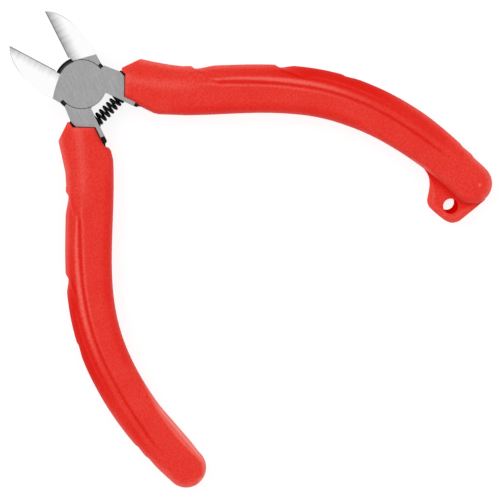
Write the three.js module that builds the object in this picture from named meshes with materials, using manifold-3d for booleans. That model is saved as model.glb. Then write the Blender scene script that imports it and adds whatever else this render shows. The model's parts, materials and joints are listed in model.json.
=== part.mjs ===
import * as THREE from 'three';
import { mergeVertices } from 'three/addons/utils/BufferGeometryUtils.js';
import Module from 'manifold-3d';

// Small cutting pliers with a lap joint, lying on their back and sprung fully open.
// Millimetres, +Z up. The pivot axis is Z, the jaws point along +Y when closed, and the origin lies
// on the pivot axis, on the flat back of the head. Each half is drawn as it stands when the jaws are
// closed, with its handle on the +X side, and is then mirrored and turned into place.

// Head
const headThickness = 6.4;
const lapGap = 0.1;
const frontLapRadius = 5.45;
const throatRim = 0.9;
const runClearance = 0.1;
const openAngle = 35;

// How far joined shapes run into each other, and waste runs past what it cuts
const overlap = 1;

// Blades
const bladeReach = 18.3;
const jawWidth = 5.9;
const jawHeelTop = 6;
const jawShoulder = 2.4;
const tipBlunt = 0.4;
const tipPullOut = 3.6;
const tipPullDown = 1.7;
const heelPullUp = 4.5;
const edgeGap = 0.02;
const edgeLand = 0.25;
const edgeBevel = 48;
const throatRelief = 0.45;
const throatTop = 6.4;
const faceStart = 5.5;
const faceSkew = 11;
const frontSlope = 8.5;
const backSlope = 10.5;

// Rivet
const rivetRadius = 2.2;
const rivetFlare = 0.4;
const rivetFlareDepth = 0.5;
const rivetClearance = 0.05;

// Shanks
const shankInner = 0.6;
const shankOuterTop = 5.65;
const shankOuterEnd = 5.9;
const shankFlareTop = 6.2;
const shankFlareOut = 0.6;
const shankFlareCorner = 0.3;
const shankFlareLength = 1.8;
const shankChamfer = 1;
const chamferBelowLap = 0.2;
const stripEnd = 12.5;
const stripRunIn = 1.1;
const stripRunDown = 2.9;
const rightSplay = 3.5;

// Opening stops: a low lug fills the notch between one half's shank and the other half's jaw
const stopNotch = 9;
const stopGap = 0.5;
const stopWidth = 0.75;
const stopHeight = 2.5;
const stopRootAngle = 4.6;
const stopBury = 0.3;
const stopSink = 0.5;

// Tangs
const tangThickness = 4.4;
const tangRootWidth = 5;
const tangTipWidth = 3.4;
const tangShare = 0.78;
const tangTipGap = 0.02;
const tangInnerStart = 0.06;
const tangOuterStart = 0.02;

// Grips: the handle's middle line is one curve through these two ends and two pulls
const handleStart = new THREE.Vector2(5.8, -15.5);
const handlePullA = new THREE.Vector2(16, -38.6);
const handlePullB = new THREE.Vector2(30.4, -50);
const handleEnd = new THREE.Vector2(16.7, -87.1);
const rightEndExtra = 1.1;
const gripRootWidth = 10.7;
const gripEndWidth = 9.1;
const gripThickness = 9.2;
const gripRounding = 1.4;
const gripClearance = 0.3;
const gripOuterStart = 0.17;
const gripInnerStart = 0.03;
const gripSideEnd = 0.97;
const mouthInner = new THREE.Vector2(1.7, -9.8);
const mouthOuter = new THREE.Vector2(6.05, -7.5);
const collarTop = 6.1;
const collarInner = 6.7;
const collarOuter = new THREE.Vector2(10.4, -9.1);
const fingerRest = new THREE.Vector2(12.1, -16);
const fingerStop = new THREE.Vector2(13.75, -20);
const mouthSpill = 0.5;
const mouthReach = 4;
const mouthDraft = 0.1;
const slotDepth = 1.55;
const slotLip = 0.9;
const slotSlope = 0.6;
const leftSlotEnd = 15;
const rightSlotEnd = 17.4;

// Hanging tab on the right grip, placed from the centre of the grip's round end
const tabThickness = 3.6;
const tabHoleIn = 6;
const tabHoleUp = 1.4;
const tabHoleRadius = 1.5;
const tabTop = 5;
const tabSide = 3.2;
const tabBottom = 3.9;
const tabCorner = 2.2;
const tabLean = 0.6;
const tabFilletIn = 0.8;
const tabFilletUp = 10.3;
const tabFootIn = 1.3;
const tabFootDown = 5.2;
const tabRootShare = 0.86;

// Spring
const springOuter = 2.95;
const wireDiameter = 0.6;
const coilGap = 0.46;
const coilSteps = 8;
const wireSides = 5;
const seatBelowLap = 3.35;
const seatClearance = 0.6;
const seatFloorGap = 0.7;
const springEntry = 1.2;

const fullTurn = 2 * Math.PI;
const circleSteps = 64;
const middle = headThickness / 2;
const rearLapRadius = frontLapRadius + throatRim;
const seatDrop = frontLapRadius + seatBelowLap;
const seatRadius = springOuter / 2 + seatClearance;
const seatDepth = springEntry + seatFloorGap;
const tabHole = new THREE.Vector2(handleEnd.x - tabHoleIn, handleEnd.y + tabHoleUp);
const jawAngle = Math.atan2(jawShoulder, jawWidth);
const shoulderAngle = THREE.MathUtils.degToRad(openAngle + stopNotch) - jawAngle;
const halfOpen = THREE.MathUtils.degToRad(openAngle / 2);
const splay = THREE.MathUtils.degToRad(rightSplay);
const far = 200;

const wasm = await Module();
wasm.setup();

function solidOf(geometry) {
  const bare = new THREE.BufferGeometry();
  bare.setAttribute('position', geometry.getAttribute('position'));
  bare.setIndex(geometry.getIndex());
  const merged = mergeVertices(bare, 1e-5);
  const mesh = new wasm.Mesh({
    numProp: 3,
    vertProperties: new Float32Array(merged.getAttribute('position').array),
    triVerts: new Uint32Array(merged.getIndex().array),
  });
  return new wasm.Manifold(mesh);
}

function geometryOf(solid) {
  const mesh = solid.getMesh();
  const geometry = new THREE.BufferGeometry();
  geometry.setAttribute('position', new THREE.BufferAttribute(new Float32Array(mesh.vertProperties), 3));
  geometry.setIndex(new THREE.BufferAttribute(new Uint32Array(mesh.triVerts), 1));
  const flat = geometry.toNonIndexed();
  flat.computeVertexNormals();
  return flat;
}

// A flat outline given by its points, as a slab from one height to another
function slab(points, low, high) {
  const geometry = new THREE.ExtrudeGeometry(new THREE.Shape(points), {
    depth: high - low,
    bevelEnabled: false,
    steps: 1,
  });
  geometry.translate(0, 0, low);
  return solidOf(geometry);
}

function round(radius, low, high, x = 0, y = 0) {
  const geometry = new THREE.CylinderGeometry(radius, radius, high - low, circleSteps);
  geometry.rotateX(Math.PI / 2);
  geometry.translate(x, y, (low + high) / 2);
  return solidOf(geometry);
}

function vec(x, y) {
  return new THREE.Vector2(x, y);
}

function polar(radius, angle) {
  return vec(radius * Math.cos(angle), radius * Math.sin(angle));
}

function arc(radius, from, to, steps) {
  return Array.from({ length: steps + 1 }, (_, i) => polar(radius, from + ((to - from) * i) / steps));
}

function turned(points, angle) {
  const centre = vec(0, 0);
  return points.map((point) => point.clone().rotateAround(centre, angle));
}

// The handle's middle line, and a point beside it: positive is the outer side
const handleLine = new THREE.CubicBezierCurve(handleStart, handlePullA, handlePullB, handleEnd);

function beside(t, offset) {
  const tangent = handleLine.getTangent(t);
  const point = handleLine.getPoint(t);
  return vec(point.x - tangent.y * offset, point.y + tangent.x * offset);
}

function edge(from, to, steps, offsetAt) {
  return Array.from({ length: steps + 1 }, (_, i) => {
    const t = from + ((to - from) * i) / steps;
    return beside(t, offsetAt(t));
  });
}

// The tang inside the grip; grow widens it into the grip's cavity
function tangOutline(grow) {
  const halfWidth = (t) => (tangRootWidth + ((tangTipWidth - tangRootWidth) * t) / tangShare) / 2 + grow;
  const end = handleLine.getPoint(tangShare);
  const back = handleLine.getTangent(tangShare);
  const start = Math.atan2(back.y, back.x) - Math.PI / 2;
  const tip = arc(halfWidth(tangShare), start, start + Math.PI, 8).map((point) => point.add(end));
  return [
    vec(shankInner - grow, -frontLapRadius + overlap),
    vec(shankInner - grow, -stripEnd),
    vec(shankInner + stripRunIn - grow, -stripEnd - stripRunDown),
    ...edge(tangInnerStart, tangShare - tangTipGap, 16, (t) => -halfWidth(t)),
    ...tip,
    ...edge(tangShare - tangTipGap, tangOuterStart, 16, (t) => halfWidth(t)),
    vec(shankOuterEnd + shankFlareOut + grow, -shankFlareTop - shankFlareLength),
    vec(shankOuterEnd + shankFlareOut + grow, -shankFlareTop - shankFlareCorner),
    vec(shankOuterEnd + grow, -shankFlareTop + grow),
    vec(shankOuterEnd + grow, -frontLapRadius + overlap),
  ];
}

// The shank ends square at the grip's mouth, a clearance short of it
function shankOutline(splayAngle) {
  const rise = (mouthOuter.y - mouthInner.y) / (mouthOuter.x - mouthInner.x);
  const lift = gripClearance * Math.hypot(1, rise);
  const mouthAt = (x) => mouthInner.y + (x - mouthInner.x) * rise + lift;
  return [
    vec(shankInner, -frontLapRadius + overlap),
    vec(shankInner, mouthAt(shankInner)),
    vec(shankOuterEnd, mouthAt(shankOuterEnd)),
    vec(shankOuterEnd, -shankFlareTop),
    vec(shankOuterTop, -shankOuterTop * Math.tan(shoulderAngle + splayAngle)),
    polar(frontLapRadius / 2, -shoulderAngle - splayAngle),
  ];
}

// The blade's back is one curve from the blunt tip to the heel
function jawOutline() {
  const back = new THREE.CubicBezierCurve(
    vec(-tipBlunt, bladeReach - tipBlunt / 2),
    vec(-tipPullOut, bladeReach - tipPullDown),
    vec(-jawWidth, jawHeelTop + heelPullUp),
    vec(-jawWidth, jawHeelTop),
  );
  return [
    vec(-edgeGap, bladeReach),
    ...back.getPoints(14),
    vec(-jawWidth, jawShoulder),
    polar(frontLapRadius / 2, Math.PI - jawAngle),
    vec(-throatRelief, jawShoulder),
    vec(-throatRelief, throatTop),
    vec(-edgeGap, throatTop + throatRelief),
  ];
}

// Ground blade faces: wedges of waste above and below, and the bevel behind the cutting edge
function grindJaw(jaw) {
  const skew = THREE.MathUtils.degToRad(faceSkew);
  const waste = (slope, flip) => {
    const rise = far * Math.tan(THREE.MathUtils.degToRad(slope));
    const side = new THREE.Shape([vec(0, 0), vec(far, -rise), vec(far, far), vec(0, far)]);
    const geometry = new THREE.ExtrudeGeometry(side, { depth: 2 * far, bevelEnabled: false });
    geometry.translate(0, 0, -far);
    geometry.rotateX(Math.PI / 2);
    geometry.rotateZ(Math.PI / 2);
    if (flip) geometry.rotateY(Math.PI);
    geometry.rotateZ(skew);
    const origin = polar(faceStart, Math.PI / 2 + skew);
    geometry.translate(origin.x, origin.y, flip ? 0 : headThickness);
    return solidOf(geometry);
  };
  const slope = Math.atan(Math.tan(THREE.MathUtils.degToRad(frontSlope)) * Math.cos(skew));
  const bevel = THREE.MathUtils.degToRad(edgeBevel);
  const run = headThickness * 2;
  const wedge = new THREE.Shape([
    vec(-edgeGap, -edgeLand),
    vec(-edgeGap - run * Math.cos(bevel), -edgeLand - run * Math.sin(bevel)),
    vec(run, -edgeLand - run * Math.sin(bevel)),
    vec(run, -edgeLand),
  ]);
  const bevelWaste = new THREE.ExtrudeGeometry(wedge, { depth: bladeReach * 2, bevelEnabled: false });
  bevelWaste.rotateX(Math.PI / 2);
  bevelWaste.translate(0, bladeReach * 2, 0);
  bevelWaste.rotateX(-slope);
  bevelWaste.translate(0, faceStart, headThickness);
  return jaw
    .subtract(waste(frontSlope, false))
    .subtract(waste(backSlope, true))
    .subtract(solidOf(bevelWaste));
}

// Chamfers along the front and back of the shank's inner edge
function shankChamfers(splayAngle) {
  const corner = (low) => {
    const height = low ? 0 : headThickness;
    const up = low ? 1 : -1;
    const profile = new THREE.Shape([
      vec(shankInner - overlap, height - up * overlap),
      vec(shankInner + shankChamfer, height - up * overlap),
      vec(shankInner + shankChamfer, height),
      vec(shankInner, height + up * shankChamfer),
      vec(shankInner - overlap, height + up * shankChamfer),
    ]);
    const geometry = new THREE.ExtrudeGeometry(profile, { depth: stripEnd, bevelEnabled: false });
    geometry.rotateX(Math.PI / 2);
    geometry.translate(0, -frontLapRadius - chamferBelowLap, 0);
    geometry.rotateZ(splayAngle);
    return solidOf(geometry);
  };
  return corner(true).add(corner(false));
}

// Where the spring's middle line enters a half, in the half's own frame
function seatPoint(depth, splayAngle) {
  return vec(shankInner + depth, -seatDrop).rotateAround(vec(0, 0), splayAngle);
}

function springSeat(splayAngle) {
  const geometry = new THREE.CylinderGeometry(seatRadius, seatRadius, seatDepth * 2, circleSteps / 2);
  geometry.rotateZ(Math.PI / 2);
  geometry.translate(shankInner, -seatDrop, middle);
  geometry.rotateZ(splayAngle);
  return solidOf(geometry);
}

function rivetProfile(grow) {
  return [
    vec(0, -grow),
    vec(rivetRadius + rivetFlare + grow, -grow),
    vec(rivetRadius + rivetFlare + grow, 0),
    vec(rivetRadius + grow, rivetFlareDepth),
    vec(rivetRadius + grow, headThickness - rivetFlareDepth),
    vec(rivetRadius + rivetFlare + grow, headThickness),
    vec(rivetRadius + rivetFlare + grow, headThickness + grow),
    vec(0, headThickness + grow),
  ];
}

function lathed(profile) {
  const geometry = new THREE.LatheGeometry(profile, circleSteps / 2);
  geometry.rotateX(Math.PI / 2);
  return solidOf(geometry);
}

// The stop: a low lug on the shank's shoulder that the other half's jaw meets at full opening
function stopLug(low, innerRadius) {
  const root = -shoulderAngle - THREE.MathUtils.degToRad(stopRootAngle);
  const meet = -shoulderAngle + THREE.MathUtils.degToRad(stopNotch - stopGap);
  const points = [
    ...arc(frontLapRadius + stopWidth, root, meet, 4),
    ...arc(innerRadius, meet, root, 4),
  ];
  return slab(points, low, middle + stopHeight);
}

// The rear lap is wider on the jaws' side, so that its rim closes the throat between the blades
function rearLapOutline() {
  const shankCorner = Math.atan2(-frontLapRadius, shankInner);
  const from = shankCorner;
  const to = Math.PI - shankCorner - THREE.MathUtils.degToRad(openAngle) - splay;
  return [
    ...arc(rearLapRadius, from, to, circleSteps),
    ...arc(frontLapRadius, to, from + fullTurn, 16),
  ];
}

function frontHalf() {
  const lapLow = middle + lapGap / 2;
  const jaw = grindJaw(slab(jawOutline(), 0, headThickness));
  const shank = slab(turned(shankOutline(splay), splay), 0, headThickness).subtract(shankChamfers(splay));
  const tangLow = middle - tangThickness / 2;
  const tang = slab(turned(tangOutline(0), splay), tangLow, tangLow + tangThickness);
  const recess = round(rearLapRadius + runClearance, -overlap, lapLow);
  const lap = round(frontLapRadius, lapLow, headThickness);
  return jaw
    .add(shank)
    .add(tang)
    .subtract(recess)
    .add(lap)
    .add(stopLug(lapLow, frontLapRadius - stopBury))
    .subtract(lathed(rivetProfile(rivetClearance)))
    .subtract(springSeat(splay));
}

function rearHalf() {
  const lapHigh = middle - lapGap / 2;
  const jaw = grindJaw(slab(jawOutline(), 0, headThickness));
  const shank = slab(shankOutline(0), 0, headThickness).subtract(shankChamfers(0));
  const tangLow = middle - tangThickness / 2;
  const tang = slab(tangOutline(0), tangLow, tangLow + tangThickness);
  const recess = round(frontLapRadius + runClearance, lapHigh, headThickness + overlap);
  const lap = slab(rearLapOutline(), 0, lapHigh);
  return jaw
    .add(shank)
    .add(tang)
    .subtract(recess)
    .add(lap)
    .add(stopLug(lapHigh - stopSink, frontLapRadius + runClearance))
    .subtract(lathed(rivetProfile(rivetClearance)))
    .subtract(springSeat(0))
    .mirror([1, 0, 0]);
}

// The sleeve's outside: a collar at the mouth, a finger rest, then both edges of the handle
function gripOutline(endExtra) {
  const halfWidth = (t) => (gripRootWidth + (gripEndWidth - gripRootWidth) * t) / 2;
  const tangent = handleLine.getTangent(1);
  const start = Math.atan2(tangent.y, tangent.x) - Math.PI / 2;
  const centre = handleEnd.clone().addScaledVector(tangent, endExtra);
  const end = arc(gripEndWidth / 2, start, start + Math.PI, 14).map((point) => point.add(centre));
  return [
    vec(shankInner - mouthSpill, mouthInner.y + mouthSpill),
    vec(shankInner + 3 * mouthSpill, -collarTop),
    vec(collarInner, -collarTop),
    collarOuter,
    fingerRest,
    fingerStop,
    ...edge(gripOuterStart, gripSideEnd, 22, halfWidth),
    ...end.reverse(),
    ...edge(gripSideEnd, gripInnerStart, 26, (t) => -halfWidth(t)),
  ];
}

// What the mouth leaves open: the shank's place, and a slot beside the shank's inner edge
function mouthWaste(slotEnd) {
  return [
    vec(shankInner - mouthReach, 0),
    vec(shankInner - mouthReach, -slotEnd),
    vec(slotDepth - slotLip, -slotEnd),
    vec(slotDepth, -slotEnd + slotSlope),
    vec(slotDepth, mouthInner.y),
    mouthInner,
    mouthOuter,
    vec(mouthOuter.x + mouthDraft, 0),
  ];
}

function gripBody(slotEnd, endExtra) {
  const low = middle - gripThickness / 2;
  const geometry = new THREE.ExtrudeGeometry(new THREE.Shape(gripOutline(endExtra)), {
    depth: gripThickness - 2 * gripRounding,
    bevelThickness: gripRounding,
    bevelSize: gripRounding,
    bevelOffset: -gripRounding,
    bevelSegments: 3,
    steps: 1,
  });
  geometry.translate(0, 0, low + gripRounding);
  const mouth = slab(mouthWaste(slotEnd), low - overlap, low + gripThickness + overlap);
  return solidOf(geometry).subtract(mouth);
}

function tangCavity() {
  const low = middle - tangThickness / 2 - gripClearance;
  return slab(tangOutline(gripClearance), low, low + tangThickness + 2 * gripClearance);
}

// The tab: a flat ear round its hole, with a hollow fillet up the grip and a straight lower edge
function tabOutline() {
  const filletTop = vec(handleEnd.x - tabFilletIn, handleEnd.y + tabFilletUp);
  const foot = vec(handleEnd.x - tabFootIn, handleEnd.y - tabFootDown);
  const topLeft = vec(tabHole.x - tabSide + tabLean, tabHole.y + tabTop);
  const bottomLeft = vec(tabHole.x - tabSide - tabLean / 2, tabHole.y - tabBottom + tabLean / 2);
  const fillet = new THREE.QuadraticBezierCurve(
    filletTop,
    vec(filletTop.x - tabCorner / 2, topLeft.y + tabLean),
    vec(topLeft.x + tabCorner, topLeft.y),
  );
  const upper = new THREE.QuadraticBezierCurve(
    vec(topLeft.x + tabCorner, topLeft.y),
    topLeft,
    vec(topLeft.x - tabLean / 2, topLeft.y - tabCorner),
  );
  const lower = new THREE.QuadraticBezierCurve(
    vec(bottomLeft.x, bottomLeft.y + tabCorner),
    bottomLeft,
    vec(bottomLeft.x + tabCorner, bottomLeft.y - tabLean),
  );
  return [
    ...fillet.getPoints(8),
    ...upper.getPoints(5).slice(1),
    ...lower.getPoints(5),
    foot,
    handleEnd,
    handleLine.getPoint(tabRootShare),
  ];
}

function leftGrip() {
  return gripBody(leftSlotEnd, 0).subtract(tangCavity()).mirror([1, 0, 0]);
}

function rightGrip() {
  const low = middle - tabThickness / 2;
  const high = low + tabThickness;
  const hole = round(tabHoleRadius, low - overlap, high + overlap, tabHole.x, tabHole.y);
  const tab = slab(tabOutline(), low, high).subtract(hole);
  return gripBody(rightSlotEnd, rightEndExtra).add(tab).subtract(tangCavity()).rotate([0, 0, rightSplay]);
}

// One wire through the given points, closed at both ends
function wire(points, radius) {
  const last = points.length - 1;
  const along = (i) => points[Math.min(i + 1, last)].clone().sub(points[Math.max(i - 1, 0)]).normalize();
  let side = new THREE.Vector3(1, 0, 0);
  const vertices = [];
  points.forEach((point, i) => {
    const tangent = along(i);
    side = side.clone().addScaledVector(tangent, -side.dot(tangent)).normalize();
    const up = tangent.clone().cross(side);
    for (let k = 0; k < wireSides; k += 1) {
      const angle = (fullTurn * k) / wireSides;
      const reach = side.clone().multiplyScalar(radius * Math.cos(angle));
      vertices.push(...point.clone().add(reach).addScaledVector(up, radius * Math.sin(angle)).toArray());
    }
  });
  const faces = [];
  for (let i = 0; i < last; i += 1) {
    for (let k = 0; k < wireSides; k += 1) {
      const a = i * wireSides + k;
      const b = i * wireSides + ((k + 1) % wireSides);
      faces.push(a, b, a + wireSides, b, b + wireSides, a + wireSides);
    }
  }
  for (let k = 1; k < wireSides - 1; k += 1) {
    const top = last * wireSides;
    faces.push(0, k + 1, k, top, top + k, top + k + 1);
  }
  const geometry = new THREE.BufferGeometry();
  geometry.setAttribute('position', new THREE.Float32BufferAttribute(vertices, 3));
  geometry.setIndex(faces);
  return geometry;
}

function place(point, angle, side) {
  const turnedPoint = point.clone().rotateAround(vec(0, 0), angle);
  return new THREE.Vector3(side * turnedPoint.x, turnedPoint.y, middle);
}

// The helix runs from the left seat to the right one, and its two ends run straight for one diameter
function springPath() {
  const left = place(seatPoint(springEntry / 2, 0), halfOpen, -1);
  const right = place(seatPoint(springEntry / 2, splay), halfOpen, 1);
  const axis = right.clone().sub(left).normalize();
  const start = left.clone().addScaledVector(axis, -springEntry / 2);
  const length = left.distanceTo(right) + springEntry - wireDiameter;
  const across = new THREE.Vector3(-axis.y, axis.x, 0);
  const up = new THREE.Vector3(0, 0, 1);
  const radius = (springOuter - wireDiameter) / 2;
  const coils = length / (wireDiameter + coilGap);
  const count = Math.floor(coils * coilSteps);
  const lead = (angle, reach) => {
    const tip = across.clone().multiplyScalar(-reach * Math.sin(angle));
    return tip.addScaledVector(up, reach * Math.cos(angle));
  };
  const points = [];
  for (let i = 0; i <= count; i += 1) {
    const angle = (fullTurn * i) / coilSteps;
    const point = start.clone().addScaledVector(axis, wireDiameter / 2 + (length * i) / count);
    point.addScaledVector(across, radius * Math.cos(angle));
    point.addScaledVector(up, radius * Math.sin(angle));
    points.push(point);
  }
  const lastAngle = (fullTurn * count) / coilSteps;
  const first = points[0].clone().add(lead(0, -wireDiameter));
  const last = points[count].clone().add(lead(lastAngle, wireDiameter));
  return [first, ...points, last];
}

function leastGap(points) {
  let least = far;
  points.forEach((point, i) => {
    for (let j = i + coilSteps - 2; j < points.length; j += 1) {
      least = Math.min(least, point.distanceTo(points[j]) - wireDiameter);
    }
  });
  return least;
}

const steel = { color: 0x9c9c9c, roughness: 0.36, metalness: 1 };
const vinyl = { color: 0xe2362c, roughness: 0.55, metalness: 0 };
const blackSteel = { color: 0x141414, roughness: 0.42, metalness: 0.8 };

function named(name, geometry, finish) {
  const mesh = new THREE.Mesh(geometry, new THREE.MeshStandardMaterial(finish));
  mesh.name = name;
  return mesh;
}

const frontSide = new THREE.Group();
frontSide.rotation.z = halfOpen;
frontSide.add(named('front_half', geometryOf(frontHalf()), steel));
frontSide.add(named('right_grip', geometryOf(rightGrip()), vinyl));

const rearSide = new THREE.Group();
rearSide.rotation.z = -halfOpen;
rearSide.add(named('rear_half', geometryOf(rearHalf()), steel));
rearSide.add(named('left_grip', geometryOf(leftGrip()), vinyl));

const route = springPath();
console.log(`return_spring least gap to itself: ${leastGap(route).toFixed(2)} mm`);

const pliers = new THREE.Group();
pliers.name = 'cutting_pliers';
pliers.add(frontSide, rearSide);
pliers.add(named('pivot_rivet', geometryOf(lathed(rivetProfile(0))), steel));
pliers.add(named('return_spring', wire(route, wireDiameter / 2), blackSteel));

export default pliers;
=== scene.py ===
import json
import math

import bmesh
import bpy
import numpy as np
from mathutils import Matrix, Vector


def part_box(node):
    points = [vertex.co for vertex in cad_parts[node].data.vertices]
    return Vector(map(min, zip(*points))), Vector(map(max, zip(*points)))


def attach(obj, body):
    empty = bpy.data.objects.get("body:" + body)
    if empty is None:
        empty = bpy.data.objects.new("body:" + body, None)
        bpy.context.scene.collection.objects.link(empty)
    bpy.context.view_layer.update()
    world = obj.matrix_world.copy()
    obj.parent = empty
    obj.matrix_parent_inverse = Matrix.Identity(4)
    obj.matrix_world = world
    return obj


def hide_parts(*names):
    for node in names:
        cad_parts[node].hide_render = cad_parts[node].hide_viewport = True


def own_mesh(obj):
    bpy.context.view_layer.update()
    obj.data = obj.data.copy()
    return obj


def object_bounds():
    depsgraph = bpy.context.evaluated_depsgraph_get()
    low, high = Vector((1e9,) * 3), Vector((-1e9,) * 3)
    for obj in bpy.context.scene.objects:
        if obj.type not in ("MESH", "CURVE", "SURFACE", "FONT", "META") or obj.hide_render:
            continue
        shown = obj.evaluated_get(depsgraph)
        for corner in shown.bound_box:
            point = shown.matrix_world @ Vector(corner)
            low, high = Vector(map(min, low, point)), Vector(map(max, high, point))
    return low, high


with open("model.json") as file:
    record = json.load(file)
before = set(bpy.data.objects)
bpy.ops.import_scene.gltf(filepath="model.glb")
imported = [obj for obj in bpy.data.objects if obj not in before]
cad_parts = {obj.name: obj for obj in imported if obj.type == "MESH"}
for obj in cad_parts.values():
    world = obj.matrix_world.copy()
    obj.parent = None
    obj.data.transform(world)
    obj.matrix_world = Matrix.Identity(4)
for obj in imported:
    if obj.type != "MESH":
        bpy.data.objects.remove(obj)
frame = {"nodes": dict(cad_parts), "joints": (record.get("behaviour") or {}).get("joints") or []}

# Small cutting pliers lying open on their back. Shapes are in millimetres here and go into the meshes in
# metres. Each half is drawn closed with its blade on the -X side and its handle on the +X side. Both are
# turned open the same way, and the rear half is then mirrored.

mm = 0.001
roundMiddle = 0.3  # where a quarter circle's middle lies, as a share of its radius
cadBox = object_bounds()
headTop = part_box("front_half")[1].z / mm
middle = headTop / 2
halfOpen = math.radians(abs(frame["joints"][0]["range_deg"][0]) / 2)
rightSplay = math.radians(3.5)  # the right handle stands this much further out
bladeTurn = math.radians(0.6)  # each blade leans this much towards the other
print("frame loaded:", len(frame["nodes"]), "nodes, head", round(headTop, 2), "mm thick")


# Curves and grids

def bezier(points, share):
    # a curve from its first point to its last, pulled by those between: each point times its binomial weight
    share = np.asarray(share, float)[..., None]
    last = len(points) - 1
    return sum(math.comb(last, k) * (1 - share) ** (last - k) * share ** k * np.array(p, float)
               for k, p in enumerate(points))


def runOf(points):
    # distance along a polyline at each of its points: the running sum of its steps
    return np.concatenate([[0], np.cumsum(np.linalg.norm(np.diff(points, axis=0), axis=1))])


def readAt(place, run, values):
    # rows of values read off between their places along a run
    return np.stack([np.interp(place, run, column) for column in values.T], -1)


def along(points, share):
    # points of a polyline at given shares of its length
    points = np.array(points, float)
    run = runOf(points)
    return readAt(np.asarray(share) * run[-1], run, points)


def unit(vectors):
    # vectors divided by their lengths
    return vectors / np.linalg.norm(vectors, axis=-1, keepdims=True)


def eased(count):
    # shares from 0 to 1 that crowd at both ends, as the height of a point going evenly round a half circle
    return (1 - np.cos(np.linspace(0, np.pi, count))) / 2


def smooth(value):
    # 0 below 0, 1 above 1, and the cubic 3v^2 - 2v^3 between
    value = np.clip(value, 0, 1)
    return value * value * (3 - 2 * value)


def ramp(at, start, run):
    # 0 up to a start and 1 from a run further on, smooth between
    return smooth((at - start) / run)


def bell(distance, width):
    # 1 at no distance, falling off as the power of e to minus the square of distance over width
    return np.exp(-(distance / width) ** 2)


def knots(station, pairs, blur=1.5):
    # a value between (station, value) pairs, rounded at each pair by averaging over the blur to both sides
    at, value = np.array(pairs, float).T
    reach = np.linspace(-blur, blur, 11)
    return np.interp(np.asarray(station)[..., None] + reach, at, value).mean(-1)


def arc(radius, start, end, count):
    # points of a circle round the pivot axis from one angle to another
    angle = np.linspace(start, end, count)
    return np.stack([radius * np.cos(angle), radius * np.sin(angle)], -1)


def turned(points, angle):
    # points turned about the pivot axis
    out = np.array(points, float)
    x, y = out[..., 0].copy(), out[..., 1].copy()
    out[..., 0] = math.cos(angle) * x - math.sin(angle) * y
    out[..., 1] = math.sin(angle) * x + math.cos(angle) * y
    return out


def raised(plan, z):
    # plan points with their heights
    return np.concatenate([plan, np.broadcast_to(z, plan.shape[:-1])[..., None]], -1)


def distanceTo(points, line):
    # least distance to a polyline: to the foot of the perpendicular on each of its segments
    start, step = line[:-1], np.diff(line, axis=0)
    size = np.maximum((step ** 2).sum(1), 1e-12)
    least = []
    for part in np.array_split(points.reshape(-1, 2), 24):  # in parts, to spare memory
        gap = part[:, None] - start
        foot = np.clip((gap * step).sum(-1) / size, 0, 1)
        least.append(np.sqrt(((gap - foot[..., None] * step) ** 2).sum(-1)).min(1))
    return np.concatenate(least).reshape(points.shape[:-1])


def roundDrop(distance, across, down):
    # how far an edge rounded as a quarter ellipse lies below the face, at a distance from the outline
    inside = 1 - np.clip(distance / across, 0, 1)
    return down * (1 - np.sqrt(1 - inside ** 2))


def inset(outline, distance):
    # a closed outline moved inwards: each point goes along the bisector of its two edges
    before, after = np.roll(outline, 1, 0), np.roll(outline, -1, 0)
    normals = []
    for step in (outline - before, after - outline):
        step = step / np.maximum(np.linalg.norm(step, axis=1), 1e-9)[:, None]
        normals.append(np.stack([-step[:, 1], step[:, 0]], -1))
    bisector = normals[0] + normals[1]
    size = np.maximum((bisector ** 2).sum(1) / 2, 0.35)  # holds back sharp corners
    return outline + bisector * distance / size[:, None]


# Meshes and solids

def closedMesh(name, points, faces, tone=None):
    # an object from points in millimetres: doubles merged, faces turned outwards, a tone on each point
    mesh = bpy.data.meshes.new(name)
    mesh.from_pydata((points.reshape(-1, 3) * mm).tolist(), [], faces)
    if tone is not None:
        values = tone.ravel().astype(np.float32)
        mesh.attributes.new("tone", "FLOAT", "POINT").data.foreach_set("value", values)
    shell = bmesh.new()
    shell.from_mesh(mesh)
    bmesh.ops.remove_doubles(shell, verts=shell.verts, dist=1e-8)
    bmesh.ops.dissolve_degenerate(shell, dist=1e-9, edges=shell.edges)
    bmesh.ops.recalc_face_normals(shell, faces=shell.faces)
    shell.to_mesh(mesh)
    shell.free()
    piece = bpy.data.objects.new(name, mesh)
    bpy.context.scene.collection.objects.link(piece)
    return piece


def ringFaces(rows, columns):
    # quads between neighbouring rows of a grid whose columns close on themselves
    i, j = np.meshgrid(np.arange(rows - 1), np.arange(columns), indexing="ij")
    k = (j + 1) % columns
    quads = np.stack([i * columns + j, i * columns + k, (i + 1) * columns + k, (i + 1) * columns + j], -1)
    return quads.reshape(-1, 4).tolist()


def loft(name, rows, tone=None):
    # closed loops of points joined row by row, with a flat face on the first loop and on the last
    count, columns = rows.shape[:2]
    ends = [list(range(columns)), list(range((count - 1) * columns, count * columns))]
    return closedMesh(name, rows, ringFaces(count, columns) + ends, tone)


def plate(name, outline, low, high, rounding=0.0):
    # an outline carried up through its thickness, drawn in along a quarter circle at both faces
    turn = np.linspace(0, np.pi / 2, 5 if rounding else 1)
    draw = rounding * (1 - np.sin(turn))
    lift = rounding * (1 - np.cos(turn))
    levels = np.concatenate([low + lift, (high - lift)[::-1]])
    draws = np.concatenate([draw, draw[::-1]])
    rows = [raised(inset(np.array(outline, float), d), z) for d, z in zip(draws, levels)]
    return loft(name, np.array(rows))


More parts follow.
